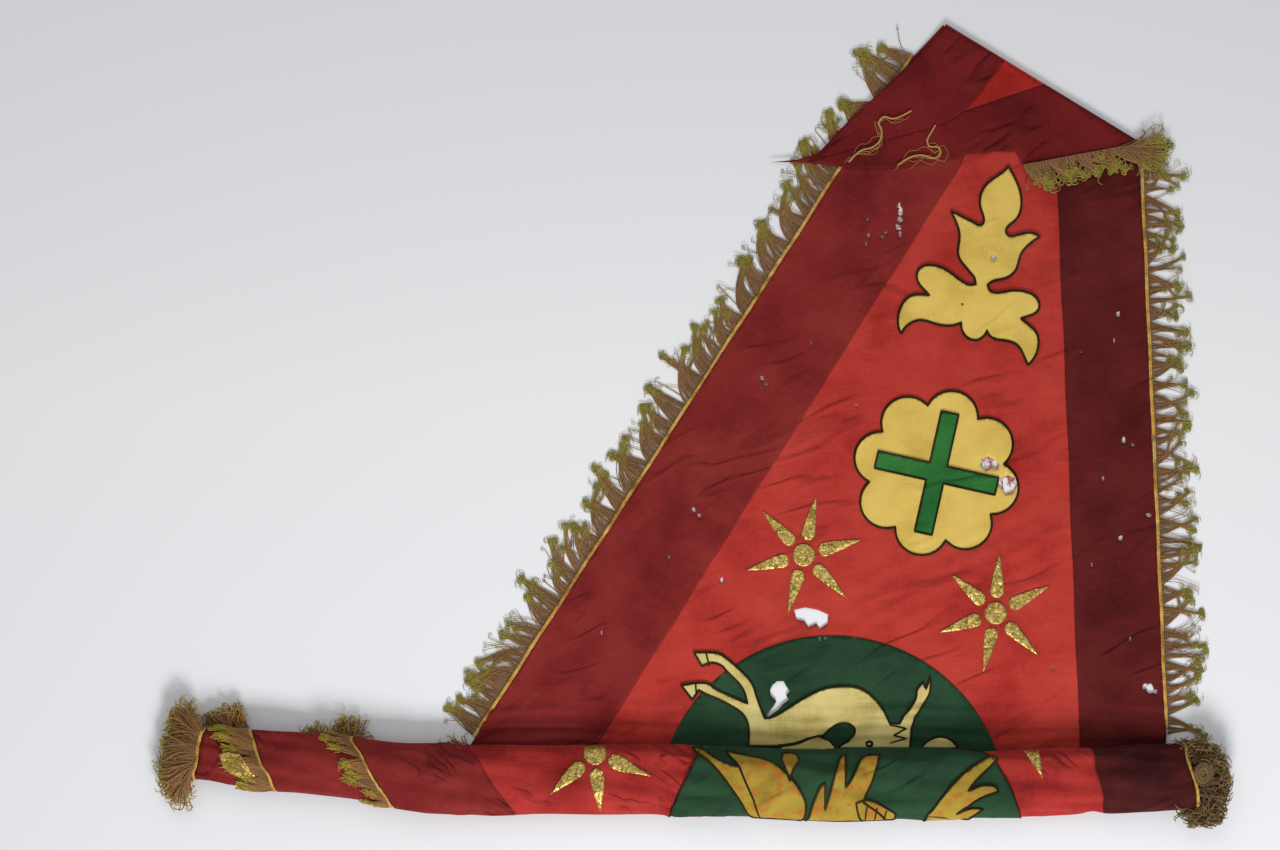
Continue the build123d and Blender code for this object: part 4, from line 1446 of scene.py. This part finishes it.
@dataclass
class Trimmings:
    """The headings and fringes of the pennant's long edges and of its folded tip."""

    drape: Drape
    finish: Finishes
    seed: int = 23
    corner_strands: int = 150

    def build(self) -> None:
        """Builds the three straight fringes."""
        # Heading, fringe, body, kind, floor in mm, drift, sweep, heading's level in mm and the
        # strands' place across the heading.
        runs = (
            (
                "left_heading", "left_fringe", Body.SHEET,
                Fringe(66.0, ceiling_mm=2.8, foot_lean=-0.8), 0.5, 0.35, -0.6, 1.9, 0.0,
            ),
            (
                "right_heading", "right_fringe", Body.SHEET,
                Fringe(60.0, tuft_mm=(8.0, 18.0), gather=0.85), 0.5, 0.0, 0.0, 1.9, 0.0,
            ),
            (
                "tip_heading", "tip_fringe", Body.TIP,
                Fringe(40.0, 0.75, 1.4, 3, (9.0, 20.0), 0.3, 0.75, 8.0), 5.2, 0.15, 1.1, 4.4, -0.7,
            ),
        )  # fmt: skip
        for index, (heading, fringe, body, kind, floor, drift, sweep, level, at) in enumerate(runs):
            start, end, out, width = straight_run(heading, fringe)
            rng = np.random.default_rng(self.seed + index)
            strands = Guides()
            reach = width * at * out
            extra = (start - end) / np.linalg.norm(end - start) * (9 * MM if "right" in heading else 0)
            kind.hang(strands, rng, start + reach + extra, end + reach, out, floor, drift, sweep)
            if body is Body.TIP:
                self.corner(strands, kind, rng, end)
            keep(strands.build(fringe, kind.radius_mm, self.finish.fringe), body, Slot.FRINGE, fringe)
            plait = Guides()
            n = int(np.linalg.norm(end - start) / (1.6 * MM))
            line = start + (end - start) * np.linspace(0, 1, n)[:, None]
            line = line - out * max(0.0, width / 2 - 1.9 * MM)
            line = line + out * (0.4 * MM * np.sin(np.linspace(0, n * 0.09, n)))[:, None]
            centre = np.column_stack([line, np.full(n, level * MM)])
            side = np.tile([*out, 0.0], (n, 1))
            braid(plait, centre, side, np.tile([0.0, 0.0, 1.0], (n, 1)), 5.6, 7.0)
            keep(plait.build(heading, 1.0, self.finish.braid), body, Slot.BRAID, heading)

    def corner(self, strands: Guides, kind: Fringe, rng: Rng, end: np.ndarray) -> None:
        """Fans the last strands of the tip's fringe out past the pennant's side."""
        for _ in range(self.corner_strands):
            aim = rng.uniform(-0.75, 0.42)
            root = end + np.array([rng.uniform(-16, 4), rng.uniform(-3, 3)]) * MM
            path = kind.strand(rng, root, aim, rng.uniform(34, 56) * MM, rng.normal(0.1, 0.3),
                               6.0 + rng.random() * 2, 1.2)
            strands.add(path, rng.uniform(0.75, 1.1), rng.random())


@dataclass
class RolledFoot:
    """The rolled foot: its windings, its fringed edges and the motifs on its reverse."""

    roll: Roll
    finish: Finishes
    seed: int = 41
    end_left: Cut = Cut(-609, 0.15)
    middle: Cut = Cut(-529, -0.40)
    outer: Cut = Cut(-392, -0.62)
    left_seam: Cut = Cut(-247, -0.645)
    right_seam: Cut = Cut(503, -0.19)
    end_right: Cut = Cut(616, -0.21)
    winding_mm: float = 3.1
    girth_m: float = 0.205
    heading_mm: float = 5.0
    plait_mm: float = 7.0
    ring_floor_mm: float = 1.8  # keeps the plaits round the roll clear of the surface under it
    wrap_strands: int = 1300
    left_strands: int = 1250
    right_strands: int = 1500
    coils: int = 46
    leaf: tuple = (
        (0, -396), (14, -396), (37, -413), (58, -418), (42, -398), (75, -403), (93, -408),
        (112, -420), (133, -443), (143, -468), (132, -492), (80, -492), (66, -470), (44, -436),
        (24, -414),
    )  # fmt: skip
    palm: tuple = (
        (139, -494), (146, -470), (157, -440), (164, -437), (164, -470), (172, -440), (182, -404),
        (190, -403), (189, -442), (198, -430), (209, -404), (232, -404), (224, -431), (211, -460),
        (230, -473), (250, -494),
    )  # fmt: skip
    hand: tuple = (
        (284, -494), (300, -463), (318, -441), (339, -420), (371, -404), (377, -410), (355, -428),
        (340, -446), (358, -438), (375, -440), (377, -447), (351, -455), (327, -476), (345, -466),
        (359, -467), (348, -478), (325, -494),
    )  # fmt: skip
    vein: tuple = ((58, -418), (66, -436), (76, -458), (84, -482))
    bud: tuple = (
        (112, -399), (130, -399), (133, -409), (125, -419), (120, -434), (115, -419), (110, -409),
    )  # fmt: skip
    scales: tuple = (
        (202, -461), (213, -457), (227, -460), (241, -467), (253, -477), (250, -486),
        (227, -489), (206, -482),
    )  # fmt: skip
    disc: tuple = (
        (24, -378), (8, -398), (-2, -420), (-11, -437), (-20, -458), (-36, -502), (414, -502),
        (405, -474), (393, -444), (385, -428), (376, -414), (366, -402), (346, -397), (338, -378),
    )  # fmt: skip

    def build(self) -> None:
        """Builds the windings, the motifs, the headings and the fringes."""
        done, roll = self.finish, self.roll
        deep = self.winding_mm
        burgundy, red = Slot.BURGUNDY, Slot.RED
        rolled, end = done.rolled_burgundy, self.end_right
        # Name, left and right cut, lift in mm, finish, slot, length along the roll in m.
        windings = (
            ("rolled_left_border", self.outer, self.left_seam, 0.1, rolled, burgundy, 0.145),
            ("rolled_field", self.left_seam, self.right_seam, -0.1, done.red_back, red, 0.75),
            ("rolled_right_border", self.right_seam, end, 0.1, done.dark_burgundy, burgundy, 0.113),
            ("middle_winding", self.middle, end, -deep, rolled, burgundy, 1.145),
            ("inner_windings", self.end_left, end, -2 * deep, rolled, burgundy, 1.225),
        )
        for name, left, right, lift, material, slot, length in windings:
            piece = roll.winding(name, left, right, lift, 1.0, material)
            keep(piece, Body.SHEET, slot, name)
        self.motifs()
        self.wrapped_edges()
        self.left_bunch()
        self.right_bunch()

    def laid(
        self, name: str, loop: Loop, low_mm: float, high_mm: float, material: bpy.types.Material,
        slot: Slot, step: float = 4.0, rough: float = 0.0, nodes: Sequence[str] = (),
    ) -> None:
        """Lays a flat shape on the roll."""
        points, faces = triangulate(loop, [], step * MM)
        noise = np.random.default_rng(len(points)).random(len(points)) * rough
        top = lambda p: self.roll.wrap(p, high_mm + noise)
        under = lambda p: self.roll.wrap(p, low_mm + noise)
        keep(thick_piece(name, points, faces, top, under, material), Body.SHEET, slot, *nodes)

    def couch(
        self, cords: Guides, line: Loop, lift_mm: float, girth: float, closed: bool = True
    ) -> None:
        """Lays a couched cord on the roll along a line drawn from above."""
        cords.add(self.roll.wrap(line, lift_mm), girth, 0.5, closed=closed)

    def motifs(self) -> None:
        """Builds the shapes that show on the reverse."""
        done = self.finish
        scale = lambda points: np.array(points, float) * MM
        cords = Guides()
        self.laid("rolled_roundel", soften(scale(self.disc)), 0.8, 1.7, done.green, Slot.GREEN, 3.4,
                  nodes=["rolled_roundel"])
        for name, shape in (("leaf", self.leaf), ("palm", self.palm), ("hand", self.hand)):
            loop = soften(scale(shape), 75, 2)
            self.laid(f"rolled_{name}", loop, 1.7, 2.3, done.old_gold, Slot.OLD_GOLD, 4.0,
                      nodes=[f"rolled_{name}"])
            self.couch(cords, resample(loop, 2.5 * MM), 2.4, 1.0)
        self.couch(cords, resample(scale(self.vein), 3 * MM, False), 2.4, 0.9, closed=False)
        for name, shape in (("bud", self.bud), ("scale", self.scales)):
            loop = soften(scale(shape), 75, 2)
            self.laid(f"rolled_{name}", loop, 1.7, 2.2, done.old_gold, Slot.OLD_GOLD, 3.0)
            self.couch(cords, resample(loop, 2.5 * MM), 2.3, 0.9)
        for x in (216, 228, 240):
            ray = resample(scale([(x, -463 - 0.3 * (x - 216)), (x - 2, -483)]), 3 * MM, False)
            self.couch(cords, ray, 2.3, 0.7, closed=False)
        self.couch(cords, resample(soften(scale(self.disc)), 3 * MM), 1.6, 0.7)
        keep(cords.build("rolled_cord", 1.55, done.cord, 6), Body.SHEET, Slot.CORD)
        centre = np.array([-120.0, -400.0])
        for i, turn in enumerate((-138, -85, -22)):
            loop = self.petal(centre, turn)
            self.laid(f"rolled_star_{i + 1}", loop, 0.0, 0.5, done.foil, Slot.FOIL, 3.0, 0.8, ["rolled_star"])
        disc = [centre + 14 * np.array([math.cos(t), math.sin(t)]) for t in np.linspace(0, 6.0, 18)]
        self.laid("rolled_star_disc", scale(disc), 0.0, 0.5, done.foil, Slot.FOIL, 3.0, 0.8, ["rolled_star"])
        scrap = scale([(409, -396), (429, -397), (432, -430), (420, -414)])
        self.laid("rolled_petal", scrap, 0.0, 0.5, done.foil, Slot.FOIL, 3.0, 0.8, ["rolled_petal"])

    @staticmethod
    def petal(centre: np.ndarray, turn_deg: float) -> Loop:
        """A pointed foil petal round a star's centre, in metres."""
        t = math.radians(turn_deg)
        axis, side = np.array([math.cos(t), math.sin(t)]), np.array([-math.sin(t), math.cos(t)])
        shape = [(75, 0), (58, 4.0), (42, 7.6), (33, 9.0), (25, 8.6), (20, 5.2), (18, 0), (20, -5.2),
                 (25, -8.6), (33, -9.0), (42, -7.6), (58, -4.0)]  # fmt: skip
        return np.array([centre + axis * a + side * b for a, b in shape]) * MM

    def ring(self, cut: Cut, back_mm: float, lift_mm: float) -> tuple[np.ndarray, np.ndarray]:
        """A line round the roll beside a cut, with its outward unit vectors."""
        theta = np.linspace(0, 1, 150) * 2 * math.pi
        x = cut.at(self.roll, theta) + back_mm * MM
        line = self.roll.surface(x, theta, lift_mm)
        line[:, 2] = np.maximum(line[:, 2], self.ring_floor_mm * MM)
        out = np.column_stack([0 * theta, np.cos(theta), np.sin(theta)])
        return line, out

    def plait_round(self, plait: Guides, cut: Cut, back_mm: float, lift_mm: float) -> None:
        """Adds the plaited heading that runs round the roll beside a cut."""
        line, out = self.ring(cut, back_mm, lift_mm)
        along = np.tile([1.0, 0, 0], (len(line), 1))
        braid(plait, line, along, out, self.heading_mm, self.plait_mm)

    def wrapped_edges(self) -> None:
        """Builds the plaited edges of the windings and the fringe round the next winding in."""
        for cut_index, (label, cut) in enumerate((("outer_wrap", self.outer), ("middle_wrap", self.middle))):
            lift = -(cut_index + 1) * self.winding_mm
            rng = np.random.default_rng(self.seed + cut_index)
            plait, strands = Guides(), Guides()
            self.plait_round(plait, cut, -3.5, lift + 2.0)
            keep(plait.build(f"{label}_heading", 1.0, self.finish.braid), Body.SHEET, Slot.BRAID,
                 f"{label}_heading")
            tufts = np.cumsum(rng.uniform(0.22, 0.42, 14)) - 0.5
            for _ in range(self.wrap_strands):
                index = int(rng.integers(len(tufts)))
                theta = tufts[index] + rng.uniform(-0.24, 0.24)
                if theta > 3.5:
                    continue
                length = (29 + 10 * cut_index + 8 * math.sin(index * 2.4)) * rng.uniform(0.8, 1.1)
                t = np.linspace(0, 1, 14)
                pull = (tufts[index] - theta) * 0.8 + 0.12 * math.sin(index * 1.7)
                loop = 0.13 * np.clip((t - 0.7) / 0.3, 0, 1)
                turn = rng.choice([-1, 1]) * rng.uniform(2, 6)
                back = length * t + 3.2 * np.sin(turn * t) * loop / 0.13
                x = cut.at(self.roll, np.full(14, theta)) - (4 + back) * MM
                around = theta + pull * t**0.8 + loop * np.cos(turn * t) + rng.normal(0, 0.045) * t
                high = lift + 1.0 + rng.random() * (1.2 + 3.2 * t) + 0.4 * np.sin(9 * t + index)
                path = self.roll.surface(x, around, high)
                strands.add(path, rng.uniform(0.8, 1.2), rng.random())
            keep(strands.build(f"{label}_fringe", 0.55, self.finish.worn_fringe), Body.SHEET, Slot.FRINGE,
                 f"{label}_fringe")

    def left_bunch(self) -> None:
        """Builds the fanned fringe at the roll's left end, and the loops beyond its back edge."""
        rng = np.random.default_rng(self.seed + 7)
        plait, strands, fringe = Guides(), Guides(), Fringe()
        self.plait_round(plait, self.end_left, -3.0, -2 * self.winding_mm + 0.5)
        keep(plait.build("left_end_heading", 1.0, self.finish.braid), Body.SHEET, Slot.BRAID,
             "left_end_heading")
        for _ in range(self.left_strands):
            share = rng.random()
            theta = np.array([math.pi * share])
            high = rng.random() ** 0.5
            place = self.end_left.at(self.roll, theta) - 3 * MM
            root = self.roll.surface(place, theta, -2 * self.winding_mm - 8 * (1 - high) + 1.0)[0]
            fan = math.pi + 0.75 * (share - 0.6) + 0.35 * math.sin(share * 23) + rng.normal(0, 0.3)
            lean = rng.uniform(0.1, 1.5) if share > 0.25 else rng.uniform(-0.9, 0.9)
            path = fringe.strand(rng, root, fan, rng.uniform(26, 58) * MM, lean, 2.0, 1.4)
            fall = np.linspace(0, 1, len(path)) ** 1.5
            path[:, 2] = root[2] * (1 - fall) + (path[:, 2] + 16 * high * MM) * fall
            strands.add(path, rng.uniform(0.75, 1.2), rng.random())
        # Loops behind the roll: place in mm, strands, aim in radians, reach in mm.
        clumps = (
            ((-568, -372), 60, 1.75, 30), ((-590, -370), 40, 2.2, 20), ((-463, -388), 45, 1.8, 22),
            ((-430, -392), 90, 1.45, 33), ((-283, -396), 30, 2.9, 20),
        )
        for (x, y), many, aim, far in clumps:
            for _ in range(many):
                root = np.array([x + rng.normal(0, 7), y, 0]) * MM
                path = fringe.strand(rng, root, aim + rng.normal(0, 0.4), rng.uniform(0.6, 1.3) * far * MM,
                                     rng.normal(0, 0.6), 2.0 + rng.random() * 14, 1.5)
                strands.add(path, rng.uniform(0.8, 1.2), rng.random())
        keep(strands.build("left_end_fringe", 0.75, self.finish.worn_fringe), Body.SHEET, Slot.FRINGE,
             "left_end_fringe")
        petal = np.array(
            [(-584, -401), (-572, -397), (-558, -401), (-550, -414), (-539, -431), (-556, -434),
             (-570, -427), (-580, -418)]
        ) * MM
        points, faces = triangulate(petal, [], 3 * MM)
        noise = np.random.default_rng(5).random(len(points))
        top = lambda p: self.roll.wrap(p, -2 * self.winding_mm + 3.6 + noise)
        under = lambda p: self.roll.wrap(p, -2 * self.winding_mm + 3.1 + noise)
        keep(thick_piece("loose_petal", points, faces, top, under, self.finish.foil), Body.SHEET, Slot.FOIL)

    def right_bunch(self) -> None:
        """Builds the coiled heading and the tangle of fringe at the roll's right end."""
        rng = np.random.default_rng(self.seed + 9)
        plait, strands = Guides(), Guides()
        for lift in (0.2, -self.winding_mm, -2 * self.winding_mm):
            self.plait_round(plait, self.end_right, 3.0, lift - 1.0)
        keep(plait.build("right_end_heading", 1.0, self.finish.braid), Body.SHEET, Slot.BRAID,
             "right_end_heading")
        for _ in range(self.coils):
            turns = np.linspace(0, rng.uniform(1.0, 1.9) * math.pi, 26) + rng.uniform(0, 6.3)
            reach = (3 + 12 * rng.random() + rng.uniform(-3, 3) * turns / 6) * MM
            coil = np.column_stack([
                0.630 + reach * np.cos(turns) * 0.8, -0.424 + reach * np.sin(turns),
                0.0405 + 0.002 * rng.random() - 0.25 * reach * np.cos(turns),
            ])
            strands.add(coil, 1.1, rng.random())
        for _ in range(self.right_strands):
            turn, out = rng.uniform(0, 2 * math.pi), rng.random() ** 0.6
            y = -0.440 + 0.054 * out * math.sin(turn)
            z = 0.021 + 0.018 * out * math.cos(turn)
            root = np.array([0.617 - 0.21 * (y + 0.435) + rng.uniform(0, 0.026), y, z])
            n = 12
            t = np.linspace(0, 1, n)
            aim = 1.1 * (y + 0.44) / 0.05 + rng.normal(0, 0.6) - (0.9 if y < -0.455 else 0)
            angle = aim + rng.normal(0, 1.0) * t
            angle = angle + rng.choice([-1, 1]) * rng.uniform(2, 7) * np.clip(t - 0.4, 0, 1) ** 1.2
            step = rng.uniform(20, 42) * MM / (n - 1)
            moves = np.column_stack([np.cos(angle), np.sin(angle)])[:-1] * step
            flat = root[:2] + np.vstack([[0, 0], np.cumsum(moves, 0)])
            rim = 0.665 - 0.012 * ((flat[:, 1] + 0.435) / 0.06) ** 2 + 0.006 * rng.random()
            flat[:, 0] = np.minimum(flat[:, 0], rim)
            flat[:, 1] = -0.440 + 0.066 * np.tanh((flat[:, 1] + 0.440) / 0.066)
            rise = z + (rng.uniform(0.0012, 0.036) - z) * t**1.5
            rise = rise + 0.003 * np.sin(7 * t + rng.random() * 6)
            path = np.column_stack([flat, np.clip(rise, 0.001, 0.045)])
            strands.add(path, rng.uniform(0.75, 1.25), rng.random() * 0.8)
        keep(strands.build("right_end_fringe", 0.65, self.finish.whorl), Body.SHEET, Slot.FRINGE,
             "right_end_fringe")


@dataclass(frozen=True)
class Stage:
    """The pale surface, painted darker towards its near and far edges as painted shade, the camera straight
    above and the soft daylight.
    """

    # The paper is painted darker at its near and far edges than in its middle: painted shade.
    near_hex: str = "#DCDDE0"
    floor_hex: str = "#E3E3E5"
    far_hex: str = "#D8D9DC"
    camera_at: tuple[float, float, float] = (-0.0644, 0.005, 3.0)
    lens_mm: float = 67.5
    key_watts: float = 75.0
    sky: float = 0.47
    floor_half: float = 6.0
    floor_z: float = -0.0004

    def build(self) -> None:
        """Sets up the floor, the camera and the lights."""
        material = blank_material("pale_matt_paper")
        tree = material.node_tree
        coords = put(tree, "ShaderNodeTexCoord").outputs["Object"]
        place = put(tree, "ShaderNodeSeparateXYZ", {0: coords}).outputs[1]
        share = put(
            tree, "ShaderNodeMapRange", {"Value": place, "From Min": -0.55, "From Max": 0.6}
        ).outputs[0]
        # The paper's colour is darker towards its near and far edges: painted shade of the light's fall-off.
        colour = ramp(tree, share, [(0.0, self.near_hex), (0.5, self.floor_hex), (1.0, self.far_hex)])
        shader = put(
            tree, "ShaderNodeBsdfPrincipled",
            {"Base Color": colour, "Roughness": 0.95, "Specular IOR Level": 0.1},
        )
        tree.links.new(shader.outputs[0], put(tree, "ShaderNodeOutputMaterial").inputs[0])
        far, low = self.floor_half, self.floor_z
        square = np.array([(-far, -far, low), (far, -far, low), (far, far, low), (-far, far, low)])
        new_piece("floor", square, [(0, 1, 2, 3)], material, smooth=False)
        scene = bpy.context.scene
        data = bpy.data.cameras.new("above")
        data.sensor_width, data.lens = 36.0, self.lens_mm
        data.clip_end = 30
        camera = bpy.data.objects.new("above", data)
        camera.location = self.camera_at
        scene.collection.objects.link(camera)
        scene.camera = camera
        self.light("key", (0.35, -2.5, 1.6), 0.9, self.key_watts)
        self.light("fill", (-0.6, 2.2, 2.8), 2.6, self.key_watts * 0.35)
        world = bpy.data.worlds.new("daylight")
        world.use_nodes = True
        sky = world.node_tree.nodes["Background"].inputs
        sky["Color"].default_value = (0.985, 0.99, 1.0, 1)
        sky["Strength"].default_value = self.sky
        scene.world = world
        scene.view_settings.view_transform = "Standard"
        scene.view_settings.look = "None"

    @staticmethod
    def light(name: str, at: tuple[float, float, float], size: float, watts: float) -> None:
        """Adds one soft lamp aimed at the middle."""
        data = bpy.data.lights.new(name, "AREA")
        data.energy, data.size = watts, size
        lamp = bpy.data.objects.new(name, data)
        lamp.location = at
        lamp.rotation_euler = (-Vector(at)).to_track_quat("-Z", "Y").to_euler()
        bpy.context.scene.collection.objects.link(lamp)


def main() -> None:
    """Builds the pennant on its design."""
    logging.basicConfig(level=logging.INFO)
    DESIGN.update(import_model())
    finish = Finishes()
    drape = Drape(Crease())
    cloth = LyingCloth(drape, finish)
    cloth.build()
    FoldedTip(cloth, finish).build()
    Trimmings(drape, finish).build()
    RolledFoot(Roll(), finish).build()
    Stage().build()


if __name__ == "__main__":
    main()
